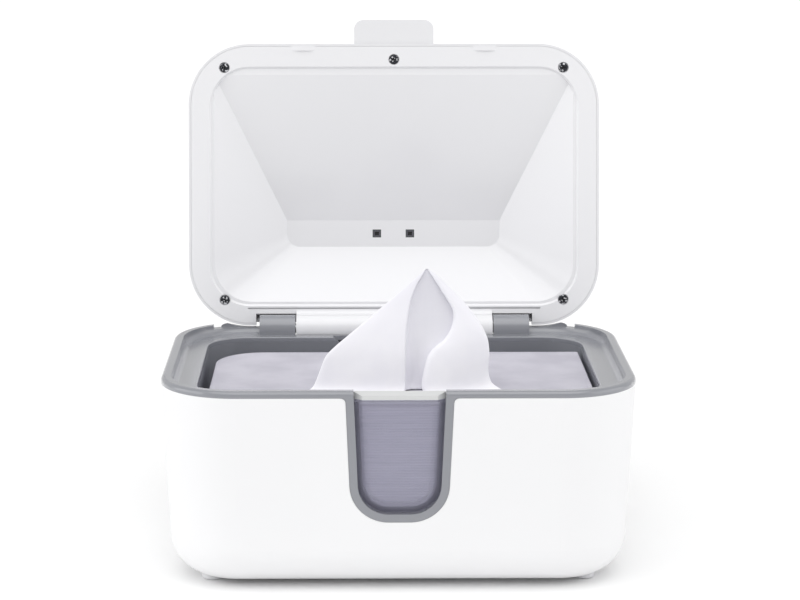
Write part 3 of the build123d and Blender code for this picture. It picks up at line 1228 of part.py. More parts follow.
def wipe_section(height, *shares):
    """Outline of the wipe at one height: left lobe, fold, panel set back, right lobe, rear."""
    left, fold, roll, right = [WIPE_PEAK_X + WIPE_SPAN * share for share in shares[:4]]

    def deep(offset):
        return WIPE_PEAK_Y + shares[4] * offset

    left_end = (left, deep(WIPE_END_Y))
    fold_edge = (fold, deep(WIPE_FOLD_Y))
    panel_end = (roll + 0.12 * (right - roll), deep(WIPE_PANEL_Y))
    roll_edge = (roll, deep(WIPE_ROLL_Y))
    right_end = (right, deep(WIPE_END_Y))
    rear = ((left + right) / 2, deep(WIPE_REAR_Y))
    left_bow = ((left + fold) / 2 - 0.06 * (fold - left), deep(0.62 * WIPE_FOLD_Y + 0.38 * WIPE_END_Y))
    right_bow = ((roll + right) / 2, deep(1.12 * WIPE_ROLL_Y))
    left_rear = ((left_end[0] + rear[0]) / 2, deep(0.72 * WIPE_REAR_Y + 0.28 * WIPE_END_Y))
    right_rear = ((right_end[0] + rear[0]) / 2, deep(0.72 * WIPE_REAR_Y + 0.28 * WIPE_END_Y))
    edges = [
        ThreePointArc(left_end, left_bow, fold_edge),
        Line(fold_edge, panel_end),
        Line(panel_end, roll_edge),
        ThreePointArc(roll_edge, right_bow, right_end),
        ThreePointArc(right_end, right_rear, rear),
        ThreePointArc(rear, left_rear, left_end),
    ]
    return Pos(0, 0, STACK_TOP_Z + WIPE_CLEARANCE + WIPE_HEIGHT * height) * make_face(edges)


def make_pulled_wipe():
    """The top wipe, pulled up to a peak, with its front fold and its rolled edge."""
    return loft([wipe_section(*section) for section in WIPE_SECTIONS], ruled=True)


# --- Write every node ------------------------------------------------------------------------------
def open_lid(shape):
    """Turn a lid piece from closed to its rest position."""
    return shape.rotate(Axis((0, AXIS_Y, AXIS_Z), (1, 0, 0)), -LID_OPEN_ANGLE)


def save(name, shape):
    """Write one node: a single solid, or a group of separate solids."""
    if isinstance(shape, list):
        shape = Compound([s for part in shape for s in part.solids()])
    export_step(shape, f"parts/{name}.step")


def main():
    os.makedirs("parts", exist_ok=True)
    base_nodes = {
        "outer_housing": make_outer_housing(),
        "top_frame": make_top_frame(),
        "inner_tank": make_inner_tank(),
        "window_pane": make_window_pane(),
        "base_cover": make_base_cover(),
        "base_screws": make_base_screws(),
        "body_screws": make_body_screws(),
        "frame_screws": make_frame_screws(),
        "heating_plate": make_heating_plate(),
        "film_heater": make_film_heater(),
        "insulation_pad": make_insulation_pad(),
        "thermal_fuse": make_thermal_fuse(),
        "temperature_sensor": make_temperature_sensor(),
        "control_board": make_control_board(),
        "board_screws": make_board_screws(),
        "power_jack": make_power_jack(),
        "jack_leads": make_jack_leads(),
        "heater_leads": make_heater_leads(),
        "sensor_leads": make_sensor_leads(),
        "lid_lead_base": make_lid_lead_base(),
        "hinge_pin": make_hinge_pin(),
        "hinge_bush": make_hinge_bush(),
        "wipe_stack": make_wipe_stack(),
        "pulled_wipe": make_pulled_wipe(),
    }
    foot_names = ["foot_front_left", "foot_front_right", "foot_rear_left", "foot_rear_right"]
    for name, (x, y) in zip(foot_names, foot_places()):
        base_nodes[name] = make_foot(x, y)
    lid_nodes = {
        "lid_shell": make_lid_shell(),
        "lid_liner": make_lid_liner(),
        "lid_screws": make_lid_screws(),
        "lid_board": make_lid_board(),
        "lid_board_screws": make_lid_board_screws(),
        "lamp_left": make_lamp(-1),
        "lamp_right": make_lamp(1),
        "push_switch": make_push_switch(),
        "power_button": make_power_button(),
        "status_lens": make_status_lens(),
        "lid_lead": make_lid_lead(),
    }
    for name, shape in base_nodes.items():
        save(name, shape)
    for name, shape in lid_nodes.items():
        turned = [open_lid(s) for s in shape] if isinstance(shape, list) else open_lid(shape)
        save(name, turned)


main()
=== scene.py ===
"""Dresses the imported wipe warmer: its plastics, screws, lamps and wipes, and the studio round it."""

import logging
import math
from dataclasses import dataclass, field
from enum import Enum
from typing import Any, Callable, ClassVar, Sequence

import bpy
from mathutils import Matrix, Vector, noise


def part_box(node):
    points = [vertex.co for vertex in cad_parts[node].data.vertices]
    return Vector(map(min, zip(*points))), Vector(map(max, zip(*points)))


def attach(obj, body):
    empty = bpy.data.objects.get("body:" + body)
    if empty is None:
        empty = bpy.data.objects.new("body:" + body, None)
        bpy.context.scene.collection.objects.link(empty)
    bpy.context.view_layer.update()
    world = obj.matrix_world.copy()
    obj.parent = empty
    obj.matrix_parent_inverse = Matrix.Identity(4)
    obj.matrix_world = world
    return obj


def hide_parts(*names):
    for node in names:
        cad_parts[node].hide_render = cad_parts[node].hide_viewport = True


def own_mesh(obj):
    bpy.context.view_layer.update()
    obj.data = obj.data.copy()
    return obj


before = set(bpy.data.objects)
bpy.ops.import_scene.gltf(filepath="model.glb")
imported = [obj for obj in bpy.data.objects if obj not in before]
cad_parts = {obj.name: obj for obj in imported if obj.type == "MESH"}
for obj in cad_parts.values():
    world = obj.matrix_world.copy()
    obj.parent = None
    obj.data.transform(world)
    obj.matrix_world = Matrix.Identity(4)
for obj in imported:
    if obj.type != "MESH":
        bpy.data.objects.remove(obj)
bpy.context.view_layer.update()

log = logging.getLogger("wipe_warmer")

MM = 0.001
HINGE_Y = 76.5
HINGE_Z = 97.0
OPEN_ANGLE = 100.0
TABLE_GAP = 0.15
# Heights between which painted shade deepens the pulled wipe's colour towards its peak.
WIPE_FOOT = 92.0
WIPE_PEAK = 149.0
COAT_ROUGHNESS = 0.2
FROST_EDGE = 0.3


# --- Small tools -------------------------------------------------------------------------
def linear(colour: str) -> tuple[float, float, float, float]:
    """Turn an sRGB hex value into the linear colour that the shaders work in.

    Args:
        colour: Hex value such as "#F4F4F5".

    Returns:
        Red, green, blue and an alpha of one.
    """
    channels = [int(colour[i : i + 2], 16) / 255 for i in (1, 3, 5)]
    red, green, blue = (c / 12.92 if c <= 0.04045 else ((c + 0.055) / 1.055) ** 2.4 for c in channels)
    return red, green, blue, 1.0


def add_node(
    tree: bpy.types.NodeTree,
    kind: str,
    settings: dict[str, Any] | None = None,
    inputs: dict[str | int, Any] | None = None,
) -> bpy.types.Node:
    """Add one node with its settings, and link or set its inputs.

    Args:
        tree: Node tree that gets the node.
        kind: Blender's name of the node type.
        settings: Attributes of the node itself.
        inputs: Values or output sockets, by the input's name or number.

    Returns:
        The new node.
    """
    node = tree.nodes.new(kind)
    for key, value in (settings or {}).items():
        setattr(node, key, value)
    for key, value in (inputs or {}).items():
        if isinstance(value, bpy.types.NodeSocket):
            tree.links.new(value, node.inputs[key])
        else:
            node.inputs[key].default_value = value
    return node


def per_metre(millimetres: float) -> float:
    """Texture scale on Object coordinates of a pattern that repeats in so many millimetres."""
    return 1.0 / (millimetres * MM)


def shift(
    tree: bpy.types.NodeTree, value: bpy.types.NodeSocket, low: float, high: float
) -> bpy.types.NodeSocket:
    """Spread a 0 to 1 pattern over a range.

    Args:
        tree: Node tree to add to.
        value: The pattern.
        low: Result where the pattern is low.
        high: Result where the pattern is high.

    Returns:
        The socket of the spread value.
    """
    spread = add_node(
        tree,
        "ShaderNodeMapRange",
        {"clamp": True, "interpolation_type": "SMOOTHSTEP"},
        {"Value": value, "From Min": 0.25, "From Max": 0.75, "To Min": low, "To Max": high},
    )
    return spread.outputs["Result"]


def tint(
    tree: bpy.types.NodeTree, value: bpy.types.NodeSocket, first: str, second: str
) -> bpy.types.NodeSocket:
    """Blend two hex colours by a pattern.

    Args:
        tree: Node tree to add to.
        value: Share of the second colour, 0 to 1.
        first: Colour where the pattern is 0.
        second: Colour where the pattern is 1.

    Returns:
        The socket of the blended colour.
    """
    inputs = {0: value, 6: linear(first), 7: linear(second)}
    return add_node(tree, "ShaderNodeMix", {"data_type": "RGBA"}, inputs).outputs[2]


def new_material(name: str) -> tuple[bpy.types.Material, bpy.types.NodeTree, bpy.types.Node]:
    """Start a material with one surface shader.

    Args:
        name: What the real surface is.

    Returns:
        The material, its node tree and its Principled shader.
    """
    material = bpy.data.materials.new(name)
    material.use_nodes = True
    tree = material.node_tree
    return material, tree, tree.nodes["Principled BSDF"]


def object_coordinates(
    tree: bpy.types.NodeTree, stretch: Sequence[float] = (1.0, 1.0, 1.0)
) -> bpy.types.NodeSocket:
    """Coordinates in metres in the part's own frame, with each axis stretched as given."""
    place = add_node(tree, "ShaderNodeTexCoord").outputs["Object"]
    inputs = {"Vector": place, "Scale": tuple(stretch)}
    return add_node(tree, "ShaderNodeMapping", {}, inputs).outputs["Vector"]


def relief(
    tree: bpy.types.NodeTree, height: bpy.types.NodeSocket, depth_mm: float, strength: float = 1.0
) -> bpy.types.NodeSocket:
    """Turn a pattern into relief of so many millimetres, and return the bent normal."""
    inputs = {"Strength": strength, "Distance": depth_mm * MM, "Height": height}
    bump = add_node(tree, "ShaderNodeBump", {}, inputs)
    return bump.outputs["Normal"]


# --- Finishes -----------------------------------------------------------------------------------
@dataclass(frozen=True)
class MouldedPlastic:
    """Injection-moulded plastic: one colour with a faint flow shade, and the grain of the mould."""

    name: str
    colour: str
    flow_colour: str
    roughness: float
    grain_mm: float
    grain_depth_mm: float
    ior: float = 1.53
    subsurface: float = 0.0
    coat: float = 0.0

    def build(self) -> bpy.types.Material:
        """Make the material."""
        material, tree, surface = new_material(self.name)
        place = object_coordinates(tree)
        grain = add_node(
            tree,
            "ShaderNodeTexNoise",
            {"noise_dimensions": "3D"},
            {"Vector": place, "Scale": per_metre(self.grain_mm), "Detail": 2.0, "Roughness": 0.6},
        ).outputs["Fac"]
        flow = add_node(
            tree,
            "ShaderNodeTexNoise",
            {"noise_dimensions": "3D"},
            {"Vector": place, "Scale": per_metre(70.0), "Detail": 0.0},
        ).outputs["Fac"]
        colour = tint(tree, shift(tree, flow, 0.0, 1.0), self.colour, self.flow_colour)
        tree.links.new(colour, surface.inputs["Base Color"])
        tree.links.new(
            shift(tree, grain, self.roughness - 0.02, self.roughness + 0.02), surface.inputs["Roughness"]
        )
        tree.links.new(relief(tree, grain, self.grain_depth_mm), surface.inputs["Normal"])
        surface.inputs["IOR"].default_value = self.ior
        if self.coat:
            surface.inputs["Coat Weight"].default_value = self.coat
            surface.inputs["Coat Roughness"].default_value = COAT_ROUGHNESS
        if self.subsurface:
            surface.inputs["Subsurface Weight"].default_value = self.subsurface
            surface.inputs["Subsurface Radius"].default_value = (1.0, 1.0, 1.0)
            surface.inputs["Subsurface Scale"].default_value = 1.5 * MM
        return material


@dataclass(frozen=True)
class ClearPlastic:
    """Clear moulded pane with a slight waviness, frosted on the shelf along its top."""

    name: str
    colour: str
    frosted_colour: str
    frosted_from_mm: float
    veil: float
    roughness: float
    ior: float = 1.49

    def build(self) -> bpy.types.Material:
        """Make the material."""
        material, tree, surface = new_material(self.name)
        place = object_coordinates(tree)
        wave = add_node(
            tree,
            "ShaderNodeTexNoise",
            {"noise_dimensions": "3D"},
            {"Vector": place, "Scale": per_metre(12.0), "Detail": 1.0},
        ).outputs["Fac"]
        height = add_node(tree, "ShaderNodeSeparateXYZ", {}, {"Vector": place}).outputs["Z"]
        frosted = add_node(
            tree,
            "ShaderNodeMapRange",
            {"clamp": True},
            {
                "Value": height,
                "From Min": (self.frosted_from_mm - FROST_EDGE) * MM,
                "From Max": self.frosted_from_mm * MM,
            },
        ).outputs["Result"]
        tree.links.new(tint(tree, frosted, self.colour, self.frosted_colour), surface.inputs["Base Color"])
        opacity = add_node(
            tree,
            "ShaderNodeMapRange",
            {"clamp": True},
            {"Value": frosted, "To Min": self.veil, "To Max": 1.0},
        ).outputs["Result"]
        tree.links.new(opacity, surface.inputs["Alpha"])
        tree.links.new(
            shift(tree, wave, self.roughness * 0.8, self.roughness * 1.3), surface.inputs["Roughness"]
        )
        tree.links.new(relief(tree, wave, 0.02), surface.inputs["Normal"])
        surface.inputs["IOR"].default_value = self.ior
        return material


@dataclass(frozen=True)
class Metal:
    """Drawn, rolled or plated metal, with fine lines along one axis."""

    name: str
    colour: str
    worn_colour: str
    roughness: float
    line_mm: float
    along: tuple[float, float, float]
    metallic: float = 1.0

    def build(self) -> bpy.types.Material:
        """Make the material."""
        material, tree, surface = new_material(self.name)
        place = object_coordinates(tree, self.along)
        lines = add_node(
            tree,
            "ShaderNodeTexNoise",
            {"noise_dimensions": "3D"},
            {"Vector": place, "Scale": per_metre(self.line_mm), "Detail": 3.0, "Roughness": 0.6},
        ).outputs["Fac"]
        tree.links.new(
            tint(tree, shift(tree, lines, 0.0, 1.0), self.colour, self.worn_colour),
            surface.inputs["Base Color"],
        )
        tree.links.new(
            shift(tree, lines, self.roughness - 0.06, self.roughness + 0.1), surface.inputs["Roughness"]
        )
        tree.links.new(relief(tree, lines, 0.01), surface.inputs["Normal"])
        surface.inputs["Metallic"].default_value = self.metallic
        return material


@dataclass(frozen=True)
class GlintSteel:
    """Blackened steel with painted glints: bright spots in its colour stand in for the highlights on a small
    head.
    """

    name: str
    colour: str
    glint_colour: str
    glint_mm: float
    roughness: float

    def build(self) -> bpy.types.Material:
        """Make the material."""
        material, tree, surface = new_material(self.name)
        place = object_coordinates(tree)
        spots = add_node(
            tree,
            "ShaderNodeTexNoise",
            {"noise_dimensions": "3D"},
            {"Vector": place, "Scale": per_metre(self.glint_mm), "Detail": 1.0, "Roughness": 0.5},
        ).outputs["Fac"]
        # Painted glints: bright spots mixed into the colour.
        painted_glints = add_node(
            tree,
            "ShaderNodeMapRange",
            {"clamp": True},
            {"Value": spots, "From Min": 0.54, "From Max": 0.6},
        ).outputs["Result"]
        tree.links.new(tint(tree, painted_glints, self.colour, self.glint_colour), surface.inputs["Base Color"])
        tree.links.new(relief(tree, spots, 0.02), surface.inputs["Normal"])
        surface.inputs["Metallic"].default_value = 1.0
        surface.inputs["Roughness"].default_value = self.roughness
        return material


@dataclass(frozen=True)
class NonwovenCloth:
    """Spunlaced wipe: soft white fibres laid every way, matted into a thin sheet."""

    name: str
    colour: str
    shade_colour: str
    fibre_mm: float
    fibre_depth_mm: float
    cloud_mm: float
    subsurface: float = 0.12
    peak_shade_colour: str = ""

    def build(self) -> bpy.types.Material:
        """Make the material."""
        material, tree, surface = new_material(self.name)
        place = object_coordinates(tree)
        fibres = add_node(
            tree,
            "ShaderNodeTexNoise",
            {"noise_dimensions": "3D"},
            {
                "Vector": place,
                "Scale": per_metre(self.fibre_mm),
                "Detail": 4.0,
                "Roughness": 0.7,
                "Distortion": 1.2,
            },
        ).outputs["Fac"]
        cloud = add_node(
            tree,
            "ShaderNodeTexNoise",
            {"noise_dimensions": "3D"},
            {"Vector": place, "Scale": per_metre(self.cloud_mm), "Detail": 3.0, "Roughness": 0.55},
        ).outputs["Fac"]
        colour = tint(tree, shift(tree, cloud, 0.0, 1.0), self.colour, self.shade_colour)
        # Painted shade: the colour darkens with height from the wipe's foot to its peak.
        if self.peak_shade_colour:
            height = add_node(tree, "ShaderNodeSeparateXYZ", {}, {"Vector": place}).outputs["Z"]
            rise = add_node(
                tree,
                "ShaderNodeMapRange",
                {"clamp": True},
                {"Value": height, "From Min": WIPE_FOOT * MM, "From Max": WIPE_PEAK * MM},
            ).outputs["Result"]
            blend = {0: rise, 6: colour, 7: linear(self.peak_shade_colour)}
            colour = add_node(tree, "ShaderNodeMix", {"data_type": "RGBA"}, blend).outputs[2]
        tree.links.new(colour, surface.inputs["Base Color"])
        tree.links.new(relief(tree, fibres, self.fibre_depth_mm), surface.inputs["Normal"])
        tree.links.new(shift(tree, fibres, 0.82, 0.95), surface.inputs["Roughness"])
        surface.inputs["Sheen Weight"].default_value = 0.15
        surface.inputs["Subsurface Weight"].default_value = self.subsurface
        surface.inputs["Subsurface Radius"].default_value = (1.0, 1.0, 1.0)
        surface.inputs["Subsurface Scale"].default_value = 1.0 * MM
        return material


@dataclass(frozen=True)
class FoldedEdges:
    """Sides of the folded stack: thin layers one on another, with a darker line between them."""

    name: str
    colour: str
    gap_colour: str
    layer_mm: float

    def build(self) -> bpy.types.Material:
        """Make the material."""
        material, tree, surface = new_material(self.name)
        place = object_coordinates(tree, (0.02, 0.02, 1.0))
        layers = add_node(
            tree,
            "ShaderNodeTexNoise",
            {"noise_dimensions": "3D"},
            {"Vector": place, "Scale": per_metre(self.layer_mm), "Detail": 3.0, "Roughness": 0.65},
        ).outputs["Fac"]
        tree.links.new(
            tint(tree, shift(tree, layers, 0.0, 1.0), self.gap_colour, self.colour),
            surface.inputs["Base Color"],
        )
        tree.links.new(relief(tree, layers, 0.3), surface.inputs["Normal"])
        surface.inputs["Roughness"].default_value = 0.9
        surface.inputs["Sheen Weight"].default_value = 0.15
        return material


@dataclass(frozen=True)
class Felt:
    """Needled felt: short matted fibres with a rough, matt face."""

    name: str
    colour: str
    shade_colour: str
    fibre_mm: float

    def build(self) -> bpy.types.Material:
        """Make the material."""
        material, tree, surface = new_material(self.name)
        place = object_coordinates(tree)
        fibres = add_node(
            tree,
            "ShaderNodeTexVoronoi",
            {"feature": "F1"},
            {"Vector": place, "Scale": per_metre(self.fibre_mm), "Randomness": 1.0},
        ).outputs["Distance"]
        tree.links.new(tint(tree, fibres, self.shade_colour, self.colour), surface.inputs["Base Color"])
        tree.links.new(relief(tree, fibres, 0.3), surface.inputs["Normal"])
        surface.inputs["Roughness"].default_value = 0.95
        surface.inputs["Sheen Weight"].default_value = 0.3
        return material


@dataclass(frozen=True)
class HeaterFilm:
    """Etched heating track between two amber polyimide films."""

    name: str
    film: str
    track: str
    pitch_mm: float

    def build(self) -> bpy.types.Material:
        """Make the material."""
        material, tree, surface = new_material(self.name)
        place = object_coordinates(tree)
        track = add_node(
            tree,
            "ShaderNodeTexWave",
            {"wave_type": "BANDS", "bands_direction": "Y"},
            {"Vector": place, "Scale": per_metre(self.pitch_mm) / 20, "Distortion": 0.0},
        ).outputs["Fac"]
        edge = add_node(
            tree,
            "ShaderNodeMapRange",
            {},
            {"Value": track, "From Min": 0.45, "From Max": 0.55},
        ).outputs["Result"]
        tree.links.new(tint(tree, edge, self.film, self.track), surface.inputs["Base Color"])
        tree.links.new(relief(tree, edge, 0.03), surface.inputs["Normal"])
        surface.inputs["Roughness"].default_value = 0.28
        surface.inputs["Coat Weight"].default_value = 0.4
        return material


@dataclass(frozen=True)
class CircuitBoard:
    """Glass-epoxy board: glossy solder mask with raised tracks beneath it."""

    name: str
    mask: str
    track: str
    pitch_mm: float

    def build(self) -> bpy.types.Material:
        """Make the material."""
        material, tree, surface = new_material(self.name)
        place = object_coordinates(tree)
        tracks = add_node(
            tree,
            "ShaderNodeTexBrick",
            {"offset": 0.37, "squash": 1.0},
            {"Vector": place, "Scale": per_metre(self.pitch_mm), "Mortar Size": 0.06, "Brick Width": 1.7},
        ).outputs["Fac"]
        tree.links.new(tint(tree, tracks, self.mask, self.track), surface.inputs["Base Color"])
        tree.links.new(relief(tree, tracks, 0.05), surface.inputs["Normal"])
        surface.inputs["Roughness"].default_value = 0.25
        surface.inputs["Coat Weight"].default_value = 0.3
        return material


class Palette(Enum):
    """Each finish of the real object, by its use."""

    # White ABS with a fine satin spark grain: soft, even highlights on the body and lid.
    WHITE_SHELL = MouldedPlastic("ABS_white_satin_moulded", "#EEEEEF", "#EDEDEE", 0.36, 0.6, 0.004)
    # The lid's shell is set a shade deeper than the tub.
    WHITE_LID = MouldedPlastic("ABS_white_satin_lid", "#E3E3E5", "#E2E2E4", 0.34, 0.6, 0.004)
    # The liner comes from a polished mould, so it is glossier and shows its creases clearly.
    WHITE_LINER = MouldedPlastic("ABS_white_polished_moulded", "#E9E9EB", "#E8E8EA", 0.14, 0.8, 0.0008)
    # Grey ABS of the frame: cool mid grey, satin, so its top faces catch the light behind it.
    GREY_FRAME = MouldedPlastic(
        "ABS_cool_grey_satin_moulded", "#85878D", "#84868C", 0.25, 0.5, 0.0012, ior=1.6, coat=1.0
    )
    # Polypropylene tank: softer and waxier than the ABS round it.
    GREY_TANK = MouldedPlastic("PP_cool_grey_moulded", "#83858B", "#82848A", 0.42, 0.7, 0.003)
    # Clear acrylic pane: a faint grey-violet veil over the stack, and a pale frosted shelf.
    CLEAR_PANE = ClearPlastic("PMMA_clear_moulded", "#B0AFC2", "#CFD0D0", 95.9, 0.42, 0.12)
    # Blackened steel of the small screws: dark, with brighter worn edges.
    DARK_STEEL = Metal("steel_black_oxide_turned", "#5E5F63", "#9A9B9F", 0.28, 0.25, (1.0, 1.0, 1.0))
    # The lid's screws carry painted glints, bright spots in their colour.
    WORN_STEEL = GlintSteel("steel_black_oxide_painted_glints", "#3E3F44", "#E4E5E8", 1.3, 0.42)
    # Painted shade: the cross recess of the lid's screws is coloured near black.
    RECESS_STEEL = MouldedPlastic("steel_black_oxide_painted_recess_shade", "#101114", "#16171A", 0.6, 0.3, 0.004)
    # Ground hinge pin: bright, with fine lines round it.
    BRIGHT_STEEL = Metal("steel_ground", "#C9CBCD", "#B4B6B9", 0.24, 0.2, (1.0, 0.2, 0.2))
    # Rolled aluminium heat plate: pale metal with long rolling lines.
    ALUMINIUM = Metal("aluminium_rolled", "#D2D4D6", "#BFC1C4", 0.34, 0.3, (0.04, 1.0, 1.0))
    HEATER = HeaterFilm("polyimide_film_etched_track", "#B96A1E", "#6E5233", 3.0)
    FELT = Felt("polyester_needled_felt", "#CFCBC2", "#A7A39A", 0.7)
    # Ceramic-filled fuse body: matt off-white.
    FUSE = MouldedPlastic("steatite_pressed", "#E4E1D8", "#DCD8CE", 0.6, 0.4, 0.01)
    # Epoxy bead of the sensor: glossy near-black.
    SENSOR = MouldedPlastic("epoxy_dipped_black", "#26262A", "#2E2E33", 0.2, 0.8, 0.004)
    BOARD = CircuitBoard("glass_epoxy_board_masked", "#1F5B3A", "#2F7A4E", 2.5)
    # PBT of the jack and the switch: black and slightly glossy.
    BLACK_PBT = MouldedPlastic("PBT_black_moulded", "#1C1C1F", "#232327", 0.35, 0.5, 0.006)
    LEAD_BLACK = MouldedPlastic("PVC_black_extruded", "#202024", "#2A2A2E", 0.42, 0.5, 0.004)
    LEAD_WHITE = MouldedPlastic("PVC_white_extruded", "#E6E5E0", "#DDDCD6", 0.4, 0.5, 0.004)
    # Acetal bush: creamy, slightly waxy.
    BUSH = MouldedPlastic("POM_natural_turned", "#EDEBE3", "#E4E2DA", 0.32, 0.3, 0.004)
    # Silicone feet: matt pale grey, soft edges.
    FEET = MouldedPlastic("silicone_grey_moulded", "#E4E4E6", "#DEDEE1", 0.62, 0.5, 0.01)
    # Moulded diffuser of the status light: milky.
    LENS = MouldedPlastic("PC_milky_diffuser", "#F4F5F6", "#EDEEF0", 0.3, 0.6, 0.004, subsurface=0.3)
    BUTTON = MouldedPlastic("ABS_light_grey_moulded", "#A6A8AD", "#A1A3A8", 0.34, 0.5, 0.005)
    # Smoked epoxy of the two lamps: dark grey case round a near-black window.
    LAMP_CASE = MouldedPlastic("epoxy_smoked_moulded", "#55565C", "#4E4F55", 0.3, 0.4, 0.004)
    LAMP_WINDOW = MouldedPlastic("epoxy_smoked_window", "#17181C", "#1E1F24", 0.12, 0.4, 0.002)
    # The pulled wipe's cloth: bright at its foot, with painted shade that deepens it towards its peak.
    PULLED_CLOTH = NonwovenCloth(
        "viscose_spunlace_painted_peak_shade", "#FCFBFF", "#F7F6FC", 0.7, 0.05, 14.0, peak_shade_colour="#E4E3EA"
    )
    # Between the fold and the rolled edge the cloth gets painted shade, darkest towards the peak, for the
    # shade of the panel set back between the folds.
    FOLD_CLOTH = NonwovenCloth(
        "viscose_spunlace_painted_fold_shade", "#FAF9FE", "#F4F3F9", 0.7, 0.05, 14.0, peak_shade_colour="#D3D2DA"
    )
    # The stack's top is cooled in tone and darkened with painted shade, for the shade it lies in deep in the
    # tank.
    STACK_TOP = NonwovenCloth("viscose_spunlace_painted_tank_shade", "#C3C1CB", "#B3B1BC", 0.9, 0.06, 22.0)
    STACK_SIDES = FoldedEdges("viscose_spunlace_layers", "#E4E2F2", "#C6C3D8", 1.1)


FINISH_OF_NODE: dict[str, Palette] = {
    "outer_housing": Palette.WHITE_SHELL,
    "base_cover": Palette.WHITE_SHELL,
    "lid_shell": Palette.WHITE_LID,
    "lid_liner": Palette.WHITE_LINER,
    "top_frame": Palette.GREY_FRAME,
    "inner_tank": Palette.GREY_TANK,
    "window_pane": Palette.CLEAR_PANE,
    "base_screws": Palette.DARK_STEEL,
    "body_screws": Palette.DARK_STEEL,
    "frame_screws": Palette.DARK_STEEL,
    "board_screws": Palette.DARK_STEEL,
    "lid_board_screws": Palette.DARK_STEEL,
    "hinge_pin": Palette.BRIGHT_STEEL,
    "hinge_bush": Palette.BUSH,
    "heating_plate": Palette.ALUMINIUM,
    "film_heater": Palette.HEATER,
    "insulation_pad": Palette.FELT,
    "thermal_fuse": Palette.FUSE,
    "temperature_sensor": Palette.SENSOR,
    "control_board": Palette.BOARD,
    "lid_board": Palette.BOARD,
    "power_jack": Palette.BLACK_PBT,
    "push_switch": Palette.BLACK_PBT,
    "jack_leads": Palette.LEAD_BLACK,
    "heater_leads": Palette.LEAD_WHITE,
    "sensor_leads": Palette.LEAD_WHITE,
    "lid_lead": Palette.LEAD_WHITE,
    "lid_lead_base": Palette.LEAD_WHITE,
    "foot_front_left": Palette.FEET,
    "foot_front_right": Palette.FEET,
    "foot_rear_left": Palette.FEET,
    "foot_rear_right": Palette.FEET,
    "power_button": Palette.BUTTON,
    "status_lens": Palette.LENS,
}


class Finishes:
    """Keeps one Blender material for each finish that is used."""

    def __init__(self) -> None:
        """Start with no material made."""
        self.made: dict[Palette, bpy.types.Material] = {}

    def get(self, finish: Palette) -> bpy.types.Material:
        """Return the material of a finish, made on its first use."""
        if finish not in self.made:
            self.made[finish] = finish.value.build()
        return self.made[finish]

    def dress(self, piece: bpy.types.Object, finish: Palette) -> None:
        """Give a whole piece one finish.

        Args:
            piece: The object to dress.
            finish: Its finish.
        """
        material = self.get(finish)
        if not piece.data.materials:
            piece.data.materials.append(material)
        for index in range(len(piece.data.materials)):
            piece.data.materials[index] = material


# --- Modelling helpers --------------------------------------------------------------------------
def select_only(piece: bpy.types.Object) -> None:
    """Select one object alone and make it active."""
    bpy.ops.object.select_all(action="DESELECT")
    piece.select_set(True)
    bpy.context.view_layer.objects.active = piece


def settle(piece: bpy.types.Object) -> None:
    """Put the object's place, turn and size into its mesh."""
    select_only(piece)
    bpy.ops.object.transform_apply(location=True, rotation=True, scale=True)


def pick(piece: bpy.types.Object, wanted: Callable[[Vector, Vector], bool]) -> None:
    """Select the faces of a piece by their place, and nothing else.

    Args:
        piece: The piece, in object mode.
        wanted: Says from a face's centre and normal whether it is selected.
    """
    select_only(piece)
    bpy.ops.object.mode_set(mode="EDIT")
    bpy.ops.mesh.select_mode(type="FACE")
    bpy.ops.mesh.select_all(action="DESELECT")
    bpy.ops.object.mode_set(mode="OBJECT")
    for face in piece.data.polygons:
        face.select = wanted(face.center, face.normal)


def turn_with_lid(piece: bpy.types.Object) -> None:
    """Turn a piece modelled on the closed lid to the open lid's place."""
    hinge = Vector((0.0, HINGE_Y * MM, HINGE_Z * MM))
    turn = Matrix.Rotation(math.radians(-OPEN_ANGLE), 4, "X")
    piece.data.transform(Matrix.Translation(hinge) @ turn @ Matrix.Translation(-hinge))


def apply_modifiers(piece: bpy.types.Object) -> None:
    """Apply every modifier of the piece, in order."""
    select_only(piece)
    for name in [m.name for m in piece.modifiers]:
        bpy.ops.object.modifier_apply(modifier=name)


def mesh_object(
    name: str, points: Sequence[Sequence[float]], faces: Sequence[Sequence[int]]
) -> bpy.types.Object:
    """Make an object from points in millimetres and faces.

    Args:
        name: Name of the piece.
        points: Points in the part's frame, in millimetres.
        faces: Rows of point numbers.

    Returns:
        The linked object, smooth shaded.
    """
    mesh = bpy.data.meshes.new(name)
    mesh.from_pydata([[c * MM for c in p] for p in points], [], [list(f) for f in faces])
    mesh.update()
    piece = bpy.data.objects.new(name, mesh)
    bpy.context.scene.collection.objects.link(piece)
    mesh.polygons.foreach_set("use_smooth", [True] * len(mesh.polygons))
    return piece


def point_outwards(piece: bpy.types.Object) -> None:
    """Recalculate a closed mesh's faces to point outwards."""
    select_only(piece)
    bpy.ops.object.mode_set(mode="EDIT")
    bpy.ops.mesh.select_all(action="SELECT")
    bpy.ops.mesh.normals_make_consistent(inside=False)
    bpy.ops.object.mode_set(mode="OBJECT")


